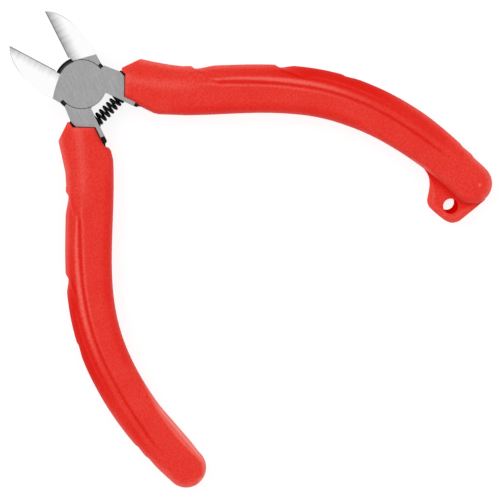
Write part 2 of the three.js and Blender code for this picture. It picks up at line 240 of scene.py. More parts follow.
def lathe(name, profile, centre=(0, 0), steps=144, lean=(0, 0), tone=None):
    # (radius, height) pairs, each with its tone, spun about an axis that leans by so much per unit of height
    angle = np.linspace(0, 2 * np.pi, steps, endpoint=False)
    radius, height = np.array(profile, float).T
    x = (centre[0] + lean[0] * (height - middle))[:, None] + radius[:, None] * np.cos(angle)
    y = (centre[1] + lean[1] * (height - middle))[:, None] + radius[:, None] * np.sin(angle)
    rows = np.stack([x, y, np.repeat(height[:, None], steps, 1)], -1)
    tones = None if tone is None else np.repeat(np.array(tone, float)[:, None], steps, 1)
    return loft(name, rows, tones)


def combine(base, tool, operation):
    # one solid joined to another or cut from it; the tool is used up
    change = base.modifiers.new("combine", "BOOLEAN")
    change.operation, change.object, change.solver = operation, tool, "MANIFOLD"
    made = bpy.data.meshes.new_from_object(base.evaluated_get(bpy.context.evaluated_depsgraph_get()))
    base.modifiers.clear()
    old, base.data = base.data, made
    bpy.data.meshes.remove(old)
    spent = tool.data
    bpy.data.objects.remove(tool)
    bpy.data.meshes.remove(spent)
    return base


def turnPiece(piece, angle, side=1):
    # a piece's points turned about the pivot axis, then mirrored where its side is -1
    mesh = piece.data
    points = np.empty(len(mesh.vertices) * 3)
    mesh.vertices.foreach_get("co", points)
    points = turned(points.reshape(-1, 3), angle) * (side, 1, 1)
    mesh.vertices.foreach_set("co", points.ravel())
    if side < 0:
        mesh.flip_normals()
    return piece


def settle(piece, name, side, angle, sharp, flatOver=None):
    # put in place and shaded smooth, but for edges over an angle and faces over an area in square millimetres
    mesh = turnPiece(piece, angle, side).data
    mesh.shade_smooth()
    if flatOver:
        areas = np.empty(len(mesh.polygons))
        mesh.polygons.foreach_get("area", areas)
        mesh.polygons.foreach_set("use_smooth", areas < flatOver * mm * mm)
    mesh.set_sharp_from_angle(angle=math.radians(sharp))
    mesh.update()
    piece.name = mesh.name = name
    return piece


def faceTable(piece):
    # middle points in millimetres and normals of a piece's faces
    count = len(piece.data.polygons)
    centres, normals = np.empty(count * 3), np.empty(count * 3)
    piece.data.polygons.foreach_get("center", centres)
    piece.data.polygons.foreach_get("normal", normals)
    return centres.reshape(-1, 3) / mm, normals.reshape(-1, 3)


# Shader groups and materials

def feed(tree, port, value):
    # a number or a colour set on a socket, or a link into it
    if isinstance(value, (int, float)):
        port.default_value = value
    elif isinstance(value, tuple):
        port.default_value = (*value, 1)
    else:
        tree.links.new(value, port)


def mathNode(tree, operation, first, second=None, third=None, clamp=False):
    # one sum, product or the like of numbers and sockets
    node = tree.nodes.new("ShaderNodeMath")
    node.operation, node.use_clamp = operation, clamp
    for port, value in zip(node.inputs, (first, second, third)):
        if value is not None:
            feed(tree, port, value)
    return node.outputs[0]


def mixColour(tree, share, first, second):
    # from the first colour to the second by a share
    node = tree.nodes.new("ShaderNodeMix")
    node.data_type = "RGBA"
    ports = {port.name: port for port in node.inputs if port.enabled}
    for label, value in (("Factor", share), ("A", first), ("B", second)):
        feed(tree, ports[label], value)
    return next(port for port in node.outputs if port.enabled)


def noiseNode(tree, vector, scale, detail, rough):
    # smooth noise over a vector
    node = tree.nodes.new("ShaderNodeTexNoise")
    node.inputs["Scale"].default_value = scale
    node.inputs["Detail"].default_value = detail
    node.inputs["Roughness"].default_value = rough
    tree.links.new(vector, node.inputs["Vector"])
    return node.outputs["Fac"]


def spread(tree, value, low, high):
    # a value's span from low to high opened out to 0 to 1
    node = tree.nodes.new("ShaderNodeMapRange")
    node.inputs["From Min"].default_value, node.inputs["From Max"].default_value = low, high
    tree.links.new(value, node.inputs["Value"])
    return node.outputs["Result"]


def vectorNode(tree, operation, vector, factors=None):
    # a vector scaled, multiplied by three factors or measured
    node = tree.nodes.new("ShaderNodeVectorMath")
    node.operation = operation
    tree.links.new(vector, node.inputs[0])
    if factors:
        node.inputs[1].default_value = factors
    return node


def turnNode(tree, vector, angle):
    # a vector turned about Z
    node = tree.nodes.new("ShaderNodeVectorRotate")
    node.rotation_type = "Z_AXIS"
    tree.links.new(vector, node.inputs["Vector"])
    feed(tree, node.inputs["Angle"], angle)
    return node.outputs[0]


def newGroup(name, inputs, outputs):
    # a group that takes a vector and numbers with their first values, and gives numbers
    group = bpy.data.node_groups.new(name, "ShaderNodeTree")
    group.interface.new_socket(name="Vector", in_out="INPUT", socket_type="NodeSocketVector")
    for label, value in inputs.items():
        made = group.interface.new_socket(name=label, in_out="INPUT", socket_type="NodeSocketFloat")
        made.default_value = value
    for label in outputs:
        group.interface.new_socket(name=label, in_out="OUTPUT", socket_type="NodeSocketFloat")
    return group, group.nodes.new("NodeGroupInput"), group.nodes.new("NodeGroupOutput")


# scale, detail and roughness of each noise, and the spans that are opened out
grainLook = {"fine": (2300, 2.5, 0.6), "pits": (5200, 1.5, 0.5), "cloud": (160, 2.0, 0.5),
             "fineSpan": (0.32, 0.68), "cloudSpan": (0.3, 0.7), "pitShare": 0.5}
streakLook = {"Streak": (5200, 2.0, 0.55), "Band": (1300, 2.0, 0.55), "span": (0.3, 0.7),
              "stretch": (1, 0.06, 1)}


def makeGrainGroup():
    # fine speckle over slow clouding: Speckle and Cloud lie round a half, Height feeds a bump
    group, given, out = newGroup("fineGrain", {"Size": 1.0}, ["Speckle", "Cloud", "Height"])
    scaled = vectorNode(group, "SCALE", given.outputs["Vector"])
    group.links.new(given.outputs["Size"], scaled.inputs["Scale"])
    place = scaled.outputs[0]
    fine, pits, cloud = [noiseNode(group, place, *grainLook[kind]) for kind in ("fine", "pits", "cloud")]
    pitted = mathNode(group, "MULTIPLY", pits, grainLook["pitShare"])
    feed(group, out.inputs["Speckle"], spread(group, fine, *grainLook["fineSpan"]))
    feed(group, out.inputs["Cloud"], spread(group, cloud, *grainLook["cloudSpan"]))
    feed(group, out.inputs["Height"], mathNode(group, "ADD", fine, pitted))
    return group


def makeStreakGroup():
    # grinding streaks: noise stretched along Y after a turn about Z, so a wheel's marks run one way
    group, given, out = newGroup("grindStreaks", {"Turn": 0.0}, ["Streak", "Band"])
    swung = turnNode(group, given.outputs["Vector"], given.outputs["Turn"])
    stretched = vectorNode(group, "MULTIPLY", swung, streakLook["stretch"]).outputs[0]
    for label in ("Streak", "Band"):
        noise = noiseNode(group, stretched, *streakLook[label])
        feed(group, out.inputs[label], spread(group, noise, *streakLook["span"]))
    return group


grainGroup = makeGrainGroup()
streakGroup = makeStreakGroup()


def newMaterial(name):
    # a material with its tree, its shader and Object coordinates
    made = bpy.data.materials.new(name)
    made.use_nodes = True
    tree = made.node_tree
    shader = tree.nodes["Principled BSDF"]
    place = tree.nodes.new("ShaderNodeTexCoord").outputs["Object"]
    return made, tree, shader, place


def useGroup(tree, group, place, **values):
    # a group placed in a material with its own values
    node = tree.nodes.new("ShaderNodeGroup")
    node.node_tree = group
    tree.links.new(place, node.inputs["Vector"])
    for label, value in values.items():
        node.inputs[label].default_value = value
    return node.outputs


def toneOf(tree):
    # the tone that a piece's points carry
    node = tree.nodes.new("ShaderNodeAttribute")
    node.attribute_name = "tone"
    return node.outputs["Fac"]


def finishShader(tree, shader, finish, colour, mask, height, gloss=0.0):
    # a finish's colour, its roughness over a span by a mask, less the gloss, and a bump from a height
    low, high = finish["roughness"]
    bump = tree.nodes.new("ShaderNodeBump")
    bump.inputs["Strength"].default_value = finish["bump"]
    bump.inputs["Distance"].default_value = finish["depth"] * mm
    tree.links.new(height, bump.inputs["Height"])
    feed(tree, shader.inputs["Base Color"], colour)
    feed(tree, shader.inputs["Roughness"], mathNode(tree, "MULTIPLY_ADD", mask, high - low, low - gloss))
    feed(tree, shader.inputs["Metallic"], finish["metal"])
    feed(tree, shader.inputs["Normal"], bump.outputs[0])


# pale and deep tint the grain, and by the tone lay painted highlight and painted shade; the palest red is
# painted highlight
vinylFinish = {"red": (0.79, 0.020, 0.0105), "pale": (0.90, 0.112, 0.084), "wearAndHighlight": (1.0, 0.27, 0.22),
               "deep": (0.72, 0.005, 0.002), "speckle": 0.42, "cloud": 0.25, "lift": (0.35, 0.8),
               "highlightFrom": 1.5, "sink": 0.9, "roughness": (0.6, 0.74), "sheen": (0.2, 0.16), "depth": 0.035,
               "bump": 0.7, "metal": 0}


def vinylMaterial():
    # grained red vinyl: speckled red, painted highlight on ridges and edges and painted shade in creases by
    # the tone attribute
    made, tree, shader, place = newMaterial("redVinyl")
    grain = useGroup(tree, grainGroup, place, Size=1.0)
    tone = toneOf(tree)
    base, gain = vinylFinish["lift"]
    grainy = mathNode(tree, "MULTIPLY_ADD", grain["Speckle"], gain, base)
    # the share of each layer and the colour that it lays over the ones before: speckle, clouds, painted
    # highlights, painted shade
    layers = [(mathNode(tree, "MULTIPLY", grain["Speckle"], vinylFinish["speckle"]), "pale"),
              (mathNode(tree, "MULTIPLY", grain["Cloud"], vinylFinish["cloud"]), "deep"),
              (mathNode(tree, "MULTIPLY", tone, grainy, clamp=True), "pale"),
              (mathNode(tree, "SUBTRACT", tone, vinylFinish["highlightFrom"], clamp=True), "wearAndHighlight"),
              (mathNode(tree, "MULTIPLY", tone, -vinylFinish["sink"], clamp=True), "deep")]
    colour = vinylFinish["red"]
    for share, over in layers:
        colour = mixColour(tree, share, colour, vinylFinish[over])
    base, gain = vinylFinish["sheen"]
    sheen = mathNode(tree, "MULTIPLY_ADD", tone, gain, base, clamp=True)
    feed(tree, shader.inputs["Specular IOR Level"], sheen)
    finishShader(tree, shader, vinylFinish, colour, grain["Speckle"], grain["Height"])
    return made


groundFinish = {"grey": (0.45, 0.45, 0.452), "dull": (0.24, 0.24, 0.243), "roughness": (0.34, 0.46),
                "grainSize": 1.6, "streakTurn": 0.4, "streak": 0.35, "speckle": 0.35, "depth": 0.006,
                "bump": 0.4, "metal": 1}


def groundMaterial():
    # satin ground steel: fine streaks and speckle in the colour, and broad streaks in the roughness
    made, tree, shader, place = newMaterial("groundSteel")
    grain = useGroup(tree, grainGroup, place, Size=groundFinish["grainSize"])
    streak = useGroup(tree, streakGroup, place, Turn=groundFinish["streakTurn"])
    share = mathNode(tree, "ADD", mathNode(tree, "MULTIPLY", streak["Streak"], groundFinish["streak"]),
                     mathNode(tree, "MULTIPLY", grain["Speckle"], groundFinish["speckle"]))
    colour = mixColour(tree, share, groundFinish["grey"], groundFinish["dull"])
    finishShader(tree, shader, groundFinish, colour, streak["Band"], streak["Streak"])
    return made


# width and strength of the painted darker reflection beside each cutting edge, left and right
polishFinish = {"bright": (0.975, 0.975, 0.977), "reflectionGrey": (0.34, 0.34, 0.345), "edge": (0.11, 0.11, 0.115),
                "leftEdgeReflection": (2.4, 0.64), "rightEdgeReflection": (3.1, 1.12), "reflectionStart": 0.1, "ragged": 0.5,
                "fall": 1.25, "tip": (14.5, 18.3), "tipShade": 1.1, "edgeLine": 0.09, "backLine": 1.5,
                "roughness": (0.1, 0.24), "depth": 0.002, "bump": 0.3, "metal": 1}


def polishMaterial(name, turn, reflectionWidth, reflectionStrength):
    # polished blade: bright, with a painted darker reflection towards the cutting edge and the tip, where the
    # hone's streaks run across it, a painted dark line on the edge and a painted grey line along the back by
    # the tone attribute
    made, tree, shader, place = newMaterial(name)
    split = tree.nodes.new("ShaderNodeSeparateXYZ")
    tree.links.new(turnNode(tree, place, turn), split.inputs[0])
    streak = useGroup(tree, streakGroup, place, Turn=turn + math.pi / 2)
    fromEdge = mathNode(tree, "ABSOLUTE", split.outputs["X"])
    ragged = mathNode(tree, "MULTIPLY_ADD", streak["Band"], polishFinish["ragged"] * mm, fromEdge)
    away = spread(tree, ragged, polishFinish["reflectionStart"] * mm, reflectionWidth * mm)
    near = mathNode(tree, "SUBTRACT", 1.0, away, clamp=True)
    fall = mathNode(tree, "POWER", near, polishFinish["fall"])
    tipStart, tipEnd = polishFinish["tip"]
    toTip = spread(tree, split.outputs["Y"], tipStart * mm, tipEnd * mm)
    shade = mathNode(tree, "MULTIPLY_ADD", toTip, polishFinish["tipShade"] - reflectionStrength, reflectionStrength)
    share = mathNode(tree, "MULTIPLY", fall, shade, clamp=True)
    reflectionGrey = mixColour(tree, share, polishFinish["bright"], polishFinish["reflectionGrey"])
    # a painted dark line on the cutting edge, then the painted grey line that the tone lays along the back
    line = polishFinish["edgeLine"] * mm
    rim = mathNode(tree, "SUBTRACT", 1.0, spread(tree, fromEdge, line, 3 * line))
    edged = mixColour(tree, rim, reflectionGrey, polishFinish["edge"])
    back = mathNode(tree, "MULTIPLY", toneOf(tree), polishFinish["backLine"], clamp=True)
    colour = mixColour(tree, back, edged, polishFinish["reflectionGrey"])
    finishShader(tree, shader, polishFinish, colour, streak["Streak"], streak["Streak"])
    return made


blackFinish = {"black": (0.002, 0.002, 0.0022), "wearAndHighlight": (0.014, 0.014, 0.0145),
               "ringGrey": (0.05, 0.05, 0.051), "grainSize": 1.3, "cloud": 0.4, "ringRadius": 5.6,
               "ringFade": (0.15, 0.4), "wireGloss": 0.08, "roughness": (0.42, 0.58), "sheen": 0.12,
               "depth": 0.01, "bump": 0.4, "metal": 0}


def blackMaterial(name, gloss=0.0, ringRadius=None):
    # black oxide skin: near black, greyer where clouds of wear lie and in a ring round the pivot just outside
    # the front lap
    made, tree, shader, place = newMaterial(name)
    grain = useGroup(tree, grainGroup, place, Size=blackFinish["grainSize"])
    wearAndHighlight = mathNode(tree, "MULTIPLY", grain["Cloud"], blackFinish["cloud"])
    skin = mixColour(tree, wearAndHighlight, blackFinish["black"], blackFinish["wearAndHighlight"])
    if ringRadius:
        flat = vectorNode(tree, "MULTIPLY", place, (1, 1, 0)).outputs[0]
        radius = vectorNode(tree, "LENGTH", flat).outputs["Value"]
        away = mathNode(tree, "ABSOLUTE", mathNode(tree, "SUBTRACT", radius, ringRadius * mm))
        start, end = blackFinish["ringFade"]
        ring = mathNode(tree, "SUBTRACT", 1.0, spread(tree, away, start * mm, end * mm), clamp=True)
        skin = mixColour(tree, ring, skin, blackFinish["ringGrey"])
    feed(tree, shader.inputs["Specular IOR Level"], blackFinish["sheen"])
    finishShader(tree, shader, blackFinish, skin, grain["Speckle"], grain["Height"], gloss)
    return made


redVinyl = vinylMaterial()
groundSteel = groundMaterial()
leftPolish = polishMaterial("leftBladePolish", -halfOpen - bladeTurn, *polishFinish["leftEdgeReflection"])
rightPolish = polishMaterial("rightBladePolish", halfOpen - bladeTurn, *polishFinish["rightEdgeReflection"])
blackSkin = blackMaterial("blackSkin", ringRadius=blackFinish["ringRadius"])
blackWire = blackMaterial("blackWire", gloss=blackFinish["wireGloss"])
print("materials made")


# Steel halves

# lap discs: the chamfer lies on the front one between the blades, from one angle to another in degrees
lap = {"frontRadius": 5.45, "throatRim": 0.9, "gap": 0.1, "run": 0.1, "rounding": 0.12, "boreRadius": 2.25,
       "boreFlare": 0.45, "flareRim": 0.02, "flareDepth": 0.5, "skin": 0.5, "rimStep": 0.02,
       "chamferIn": 0.23, "chamferDown": 0.5, "chamferFrom": 48, "chamferTo": 93.5, "chamferSlack": 0.01,
       "cutPast": 1.0}
# blades: skew, slopes and bevel in degrees, and at the end how many rows and columns their grid has
blade = {"reach": 18.3, "width": 5.9, "heelTop": 6.0, "shoulder": 2.4, "tipWidth": 0.4,
         "tipPull": (3.6, 1.7), "heelPull": 4.5, "throatIn": 0.3, "throatLow": 5.2, "throatTop": 6.4,
         "throatRun": 0.2, "edgeIn": 0.02, "faceSkew": 11, "frontSlope": 8.5, "backSlope": 10.5,
         "land": 0.22, "bevel": 48, "bevelRamp": 1.6, "bevelShare": 0.9, "backRound": 0.3, "grindRun": 2.0,
         "rimWidth": 0.17, "rimFrom": 10.5, "rootRows": 8, "faceRows": 80, "tipCrowd": 1.25,
         "faceColumns": 41, "backColumns": 21, "bevelColumns": 13}
shank = {"inner": 0.6, "outerEnd": 5.9, "outerTop": 5.65, "flareTop": 6.2, "flareOut": 0.6,
         "flareLength": 1.8, "chamfer": 1.0, "chamferDrop": 0.3, "chamferPast": 4.0, "fillet": 0.5,
         "rootIn": 1.2, "stripEnd": 12.6, "stripWidth": 0.9, "cornerIn": 0.5, "cornerUp": 1.1,
         "rounding": 0.12, "mouthGap": 0.1, "tailLow": 0.3, "tailDrop": 0.5, "tailOverlap": 0.2,
         "tailFoot": (0.5, 0.6), "tailRounding": 0.1}
tang = {"thickness": 4.4, "rootWidth": 5.0, "tipWidth": 3.4, "start": 4.5, "share": 0.78, "rounding": 0.2,
        "stripRunIn": 1.1, "stripRunDown": 2.9, "rootIn": 1.0, "flareStep": 0.3, "neckIn": 0.6,
        "neckUp": 0.2}
# opening stops: notch and gap in degrees
stops = {"notch": 9, "gap": 0.5, "width": 0.75, "height": 2.5, "overlap": 0.08, "sinkIn": 0.3,
         "sinkDown": 0.5, "rounding": 0.1}
seat = {"drop": 8.97, "radius": 2.05, "depth": 1.9, "sides": 48}

rearRadius = lap["frontRadius"] + lap["throatRim"]
jawAngle = math.atan2(blade["shoulder"], blade["width"])
shoulderAngle = 2 * halfOpen + math.radians(stops["notch"]) - jawAngle

# the handle's middle line, from the shank to its end
handle = {"line": [(5.8, -15.5), (16, -38.6), (30.4, -50), (16.7, -87.1)], "rootWidth": 10.7, "endWidth": 9.1}
handlePoints = bezier(handle["line"], np.linspace(0, 1, 2001))
handleRun = runOf(handlePoints)
handleLength = handleRun[-1]
handleSlope = np.gradient(handlePoints, handleRun, axis=0)


def handleAt(station):
    # point, outward normal and tangent at a distance along the middle line, which runs straight past its end
    station = np.asarray(station, float)
    inside = np.clip(station, 0, handleLength)
    tangent = unit(readAt(inside, handleRun, handleSlope))
    point = readAt(inside, handleRun, handlePoints) + tangent * (station - inside)[..., None]
    return point, np.stack([-tangent[..., 1], tangent[..., 0]], -1), tangent


def handleHalf(station):
    # half of the handle's plain width, which runs evenly from its root to its end
    share = np.clip(np.asarray(station) / handleLength, 0, 1)
    return (handle["rootWidth"] + (handle["endWidth"] - handle["rootWidth"]) * share) / 2


def seamAt(hone, x):
    # where a blade's grinding starts: a line skewed across its face
    return hone["seam"] + x * math.tan(math.radians(blade["faceSkew"]))


def bowAt(hone, across):
    # how far that line bows out: a parabola, highest halfway across
    return hone["bow"] * 4 * across * (1 - across)


def jawRows(hone):
    # rows across the jaw from its root to its tip; round each row run the front face, back face and bevel.
    # The faces close in by their slopes times the distance past the seam, and the bevel climbs evenly
    xHeel, xThroat = -blade["width"], -blade["throatIn"]
    seamIn, seamOut = seamAt(hone, xThroat), seamAt(hone, xHeel)
    back = bezier([(-blade["tipWidth"], blade["reach"] - blade["tipWidth"] / 2),
                   (-blade["tipPull"][0], blade["reach"] - blade["tipPull"][1]),
                   (xHeel, blade["heelTop"] + blade["heelPull"]), (xHeel, blade["heelTop"])],
                  np.linspace(1, 0, 200))
    root = np.linspace(0, 1, blade["rootRows"], endpoint=False)
    front = 1 - (1 - np.linspace(0, 1, blade["faceRows"])) ** blade["tipCrowd"]
    rootIn = -xThroat * blade["shoulder"] / blade["width"]
    yIn = np.concatenate([rootIn + root * (seamIn - rootIn), seamIn + front * (blade["reach"] - seamIn)])
    yOut = np.concatenate([blade["shoulder"] + root * (seamOut - blade["shoulder"]),
                           seamOut + front * (back[-1, 1] - seamOut)])
    xIn = np.interp(yIn, [blade["throatLow"], blade["throatTop"], blade["throatTop"] + blade["throatRun"]],
                    [-hone["throat"][0], -hone["throat"][1], -blade["edgeIn"]])
    xOut = np.interp(yOut, back[:, 1], back[:, 0])
    bowShare = np.concatenate([root, 1 - front])
    width = np.hypot(xIn - xOut, yIn - yOut)

    def faceAt(across):
        # plan points at shares across each row, and how far each lies past the seam where the grinding starts
        x = xIn[:, None] + (xOut - xIn)[:, None] * across
        y = yIn[:, None] + (yOut - yIn)[:, None] * across
        bow = bowAt(hone, across)
        y = y + bow * bowShare[:, None]
        past = np.maximum(y - seamAt(hone, x) - bow, 0) * math.cos(math.radians(blade["faceSkew"]))
        past[:len(root) + 1] = 0
        return x, y, past

    across = np.repeat(eased(blade["faceColumns"])[None], len(yIn), 0)
    x, y, past = faceAt(across)
    fromBack = (1 - across) * width[:, None]
    fromEdge = across * width[:, None]
    z = headTop - past * math.tan(math.radians(blade["frontSlope"]))
    z -= roundDrop(fromBack, blade["backRound"], blade["backRound"])
    z -= hone["drop"] * smooth(past / blade["grindRun"]) * np.clip(1 - fromEdge / hone["width"], 0, 1) ** 2
    # tone: a painted grey line along the rounded back edge towards the tip
    rim = bell(fromBack, blade["rimWidth"]) * ramp(y, blade["rimFrom"], blade["reach"] - blade["rimFrom"])
    edgeZ = z[:, :1]
    backSlope = math.tan(math.radians(blade["backSlope"]))
    thick = edgeZ[:, 0] - blade["land"] - past[:, 0] * backSlope
    run = np.minimum(thick / math.tan(math.radians(blade["bevel"])), blade["bevelShare"] * width)
    knee = (run * smooth(past[:, 0] / blade["bevelRamp"]) / width)[:, None]
    acrossBack = 1 - (1 - knee) * eased(blade["backColumns"])[None]
    xb, yb, pastBack = faceAt(acrossBack)
    zb = pastBack * backSlope
    zb += roundDrop((1 - acrossBack) * width[:, None], blade["backRound"], blade["backRound"])
    climb = np.linspace(0, 1, blade["bevelColumns"])[None, 1:]
    xv, yv, _ = faceAt(knee * (1 - climb))
    zv = zb[:, -1:] + (edgeZ - blade["land"] - zb[:, -1:]) * climb
    rows = np.concatenate([np.stack(part, -1) for part in ([x, y, z], [xb, yb, zb], [xv, yv, zv])], 1)
    tone = np.zeros(rows.shape[:2])
    tone[:, :rim.shape[1]] = rim
    return rows, tone


def mouthLine(x, mouth):
    # height of the grip's slanted mouth across the shank
    (x0, y0), (x1, y1) = mouth
    return y0 + (x - x0) * (y1 - y0) / (x1 - x0)


leftMouth = [(1.55, -10.1), (6.05, -7.82)]
rightMouth = [(1.3, -10.0), (6.2, -7.9)]


def shankOutline(splay, swell, mouth, shoulder):
    # the bare shank from inside the lap to the grip's mouth, with the strip that runs on beside the grip
    inner, f = shank["inner"], shank["fillet"]
    stripSide = inner + shank["stripWidth"]
    outer, top = shank["outerEnd"] + swell, shank["outerTop"] + swell
    corner = outer - shank["cornerIn"]
    root = turned([[lap["frontRadius"] / 2, 0]], -shoulder - splay)[0]
    fillet = np.array([inner - f, -math.sqrt((lap["frontRadius"] + f) ** 2 - (inner - f) ** 2)])
    return np.array([
        (fillet[0], -lap["frontRadius"] + shank["rootIn"]),
        *(fillet + arc(f, np.pi / 2, 0, 9)),
        (inner, -shank["stripEnd"]),
        (stripSide, -shank["stripEnd"]),
        (stripSide, mouthLine(stripSide, mouth) + shank["mouthGap"]),
        (corner, mouthLine(corner, mouth) + shank["mouthGap"]),
        (outer, mouthLine(outer, mouth) + shank["cornerUp"]),
        (outer, -shank["flareTop"]),
        (top, -top * math.tan(shoulder + splay)),
        root])


def tailOutline(length):
    # the strip's unground end beside the grip, its foot drawn round
    near, side = shank["inner"], shank["inner"] + shank["stripWidth"]
    top, end = -shank["stripEnd"] + shank["tailOverlap"], -shank["stripEnd"] - length
    pull, foot = shank["tailFoot"]
    curve = bezier([(near, end), (near, end - pull), (side, end - foot)], np.linspace(0.2, 1, 6))
    return np.array([(near, top), (near, end), *curve, (side, top)])


def tangOutline(grow):
    # the tang follows the handle's middle line and ends round; grow widens it into the grip's cavity
    end = tang["share"] * handleLength

    def half(station):
        # half of its width, which runs evenly from root to tip
        return (tang["rootWidth"] + (tang["tipWidth"] - tang["rootWidth"]) * station / end) / 2 + grow

    down = np.linspace(tang["start"], end, 40)
    point, normal, _ = handleAt(down)
    tip, tipNormal, tipTangent = handleAt(end)
    sweep = np.linspace(0, np.pi, 13)[1:-1, None]
    cap = tip + half(end) * (-np.cos(sweep) * tipNormal + np.sin(sweep) * tipTangent)
    inner, neck = shank["inner"] - grow, shank["outerEnd"] - tang["neckIn"]
    flare, flareTop = shank["outerEnd"] + shank["flareOut"] + grow, -shank["flareTop"]
    root = -lap["frontRadius"] + tang["rootIn"]
    return np.concatenate([
        [(inner, root), (inner, -shank["stripEnd"]),
         (shank["inner"] + tang["stripRunIn"] - grow, -shank["stripEnd"] - tang["stripRunDown"])],
        point - normal * half(down)[:, None], cap, (point + normal * half(down)[:, None])[::-1],
        [(flare, flareTop - shank["flareLength"]), (flare, flareTop - tang["flareStep"]),
         (shank["outerEnd"] + grow, flareTop + grow), (neck, flareTop + tang["neckUp"]), (neck, root)]])


def chamferWaste(low):
    # a wedge along the shank's inner edge, at its back or its front, that deepens from the lap down
    face, rise = (0.0, -shank["chamferDrop"]) if low else (headTop, shank["chamferDrop"])
    inner, c = shank["inner"], shank["chamfer"]
    section = np.array([(inner - c, face + rise), (inner + 2 * c, face + rise), (inner - c, face - 2 * rise)])
    foot = -shank["stripEnd"] - shank["chamferPast"]
    stations = [(-lap["frontRadius"], rise), (-seat["drop"], 0), (foot, 0)]
    rows = [np.column_stack([section[:, 0], np.full(3, y), section[:, 1] + lift]) for y, lift in stations]
    return loft("chamferWaste", np.stack(rows))


def lapChamferWaste():
    # a ring sector over the front lap's edge between the blades, its inner wall leaning as the chamfer does
    start, end = math.radians(lap["chamferFrom"]), math.radians(lap["chamferTo"])
    down = lap["chamferDown"]
    rows = []
    for z in (headTop - down, headTop + down):
        inner = lap["frontRadius"] + lap["chamferSlack"] - lap["chamferIn"] * (z - headTop + down) / down
        ring = np.concatenate([arc(rearRadius, start, end, 25), arc(inner, end, start, 25)])
        rows.append(raised(ring, z))
    return loft("lapChamferWaste", np.array(rows))


def stopLug(low, innerRadius, shoulder, turn):
    # a ring sector in the notch, from inside the shank to just short of the other half's jaw
    start = -shoulder - stops["overlap"]
    meet = -shoulderAngle + math.radians(stops["notch"] - stops["gap"]) + turn
    outer = arc(lap["frontRadius"] + stops["width"], start, meet, 9)
    outline = np.concatenate([outer, arc(innerRadius, meet, start, 9)])
    return plate("stopLug", outline, low, middle + stops["height"], stops["rounding"])


def seatWaste(splay):
    # the spring's blind hole: a cylinder across the shank's inner face
    angle = np.linspace(0, 2 * np.pi, seat["sides"], endpoint=False)
    y = -seat["drop"] + seat["radius"] * np.cos(angle)
    z = middle + seat["radius"] * np.sin(angle)
    rows = [np.stack([0 * angle + shank["inner"] + x, y, z], -1) for x in (-seat["depth"], seat["depth"])]
    return loft("seatWaste", turned(np.stack(rows), splay))


def frontLap(shoulder, turn):
    # the front half's lap in the order of use: room for the rear lap, disc, chamfer, stop and blind bore
    low, radius, r = middle + lap["gap"] / 2, lap["frontRadius"], lap["rounding"]
    clear, bore = rearRadius + lap["run"], lap["boreRadius"]
    mid = roundMiddle * r
    return [(lathe("recess", [(clear, -lap["cutPast"]), (clear, low)]), "DIFFERENCE"),
            (lathe("lapDisc", [(radius, low), (radius, headTop - r), (radius - mid, headTop - mid),
                               (radius - r, headTop)]), "UNION"),
            (lapChamferWaste(), "DIFFERENCE"),
            (stopLug(low, radius - stops["sinkIn"], shoulder, turn), "UNION"),
            (lathe("bore", [(bore, -lap["cutPast"]), (bore, headTop - lap["skin"])]), "DIFFERENCE")]


def rearLap(shoulder, turn):
    # the rear half's: room for the front lap, disc with the throat's rim, step inside the rim, stop, bore
    high, radius, above = middle - lap["gap"] / 2, lap["frontRadius"], headTop + lap["cutPast"]
    clear, bore = radius + lap["run"], lap["boreRadius"]
    flare = bore + lap["boreFlare"]
    near = math.atan2(-radius, shank["inner"])
    far = math.pi - near - 2 * halfOpen - rightSplay
    outline = np.concatenate([arc(rearRadius, near, far, 120), arc(radius, far, near + 2 * np.pi, 40)])
    return [(lathe("recess", [(clear, high), (clear, above)]), "DIFFERENCE"),
            (plate("lapDisc", outline, 0.0, high, lap["rounding"]), "UNION"),
            (lathe("lapFloor", [(clear, high - lap["rimStep"]), (clear, above)]), "DIFFERENCE"),
            (stopLug(high - stops["sinkDown"], clear, shoulder, turn), "UNION"),
            (lathe("bore", [(flare, -lap["cutPast"]), (flare, lap["flareRim"]), (bore, lap["flareDepth"]),
                            (bore, headTop)]), "DIFFERENCE")]


def steelHalf(name, lapTools, splay, hone, mouth):
    # jaw, shank, tang and stop on one lap disc, with the other half's lap and the spring's seat cut out
    rows, tone = jawRows(hone)
    half = loft(name, turned(rows, hone["turn"]), tone)
    shoulder = shoulderAngle + math.radians(hone["shoulder"])
    outline = shankOutline(splay, hone["swell"], mouth, shoulder)
    bar = plate("shankBar", outline, 0, headTop, shank["rounding"])
    for low in (True, False):
        combine(bar, chamferWaste(low), "DIFFERENCE")
    tailTop = headTop - shank["tailDrop"]
    tail = plate("stripTail", tailOutline(hone["tail"]), shank["tailLow"], tailTop, shank["tailRounding"])
    combine(bar, tail, "UNION")
    combine(half, turnPiece(bar, splay), "UNION")
    tangLow = middle - tang["thickness"] / 2
    tongue = plate("tang", tangOutline(0), tangLow, tangLow + tang["thickness"], tang["rounding"])
    combine(half, turnPiece(tongue, splay), "UNION")
    for tool, operation in lapTools(shoulder, hone["turn"]):
        combine(half, tool, operation)
    return combine(half, seatWaste(splay), "DIFFERENCE")


# which faces take which finish: how far their normals lean from the level, and how far they lie from shapes
dress = {"polishFacing": 0.25, "wallFacing": 0.5, "flatFacing": 0.9, "bladeSide": 0.1, "slack": 0.02,
         "faceSkin": 0.05, "deepSkin": 0.5, "throatOut": 0.3, "throatIn": 0.4, "throatLow": -1.6,
         "gripTop": -5, "flareUp": 0.3, "seatEnd": 3}


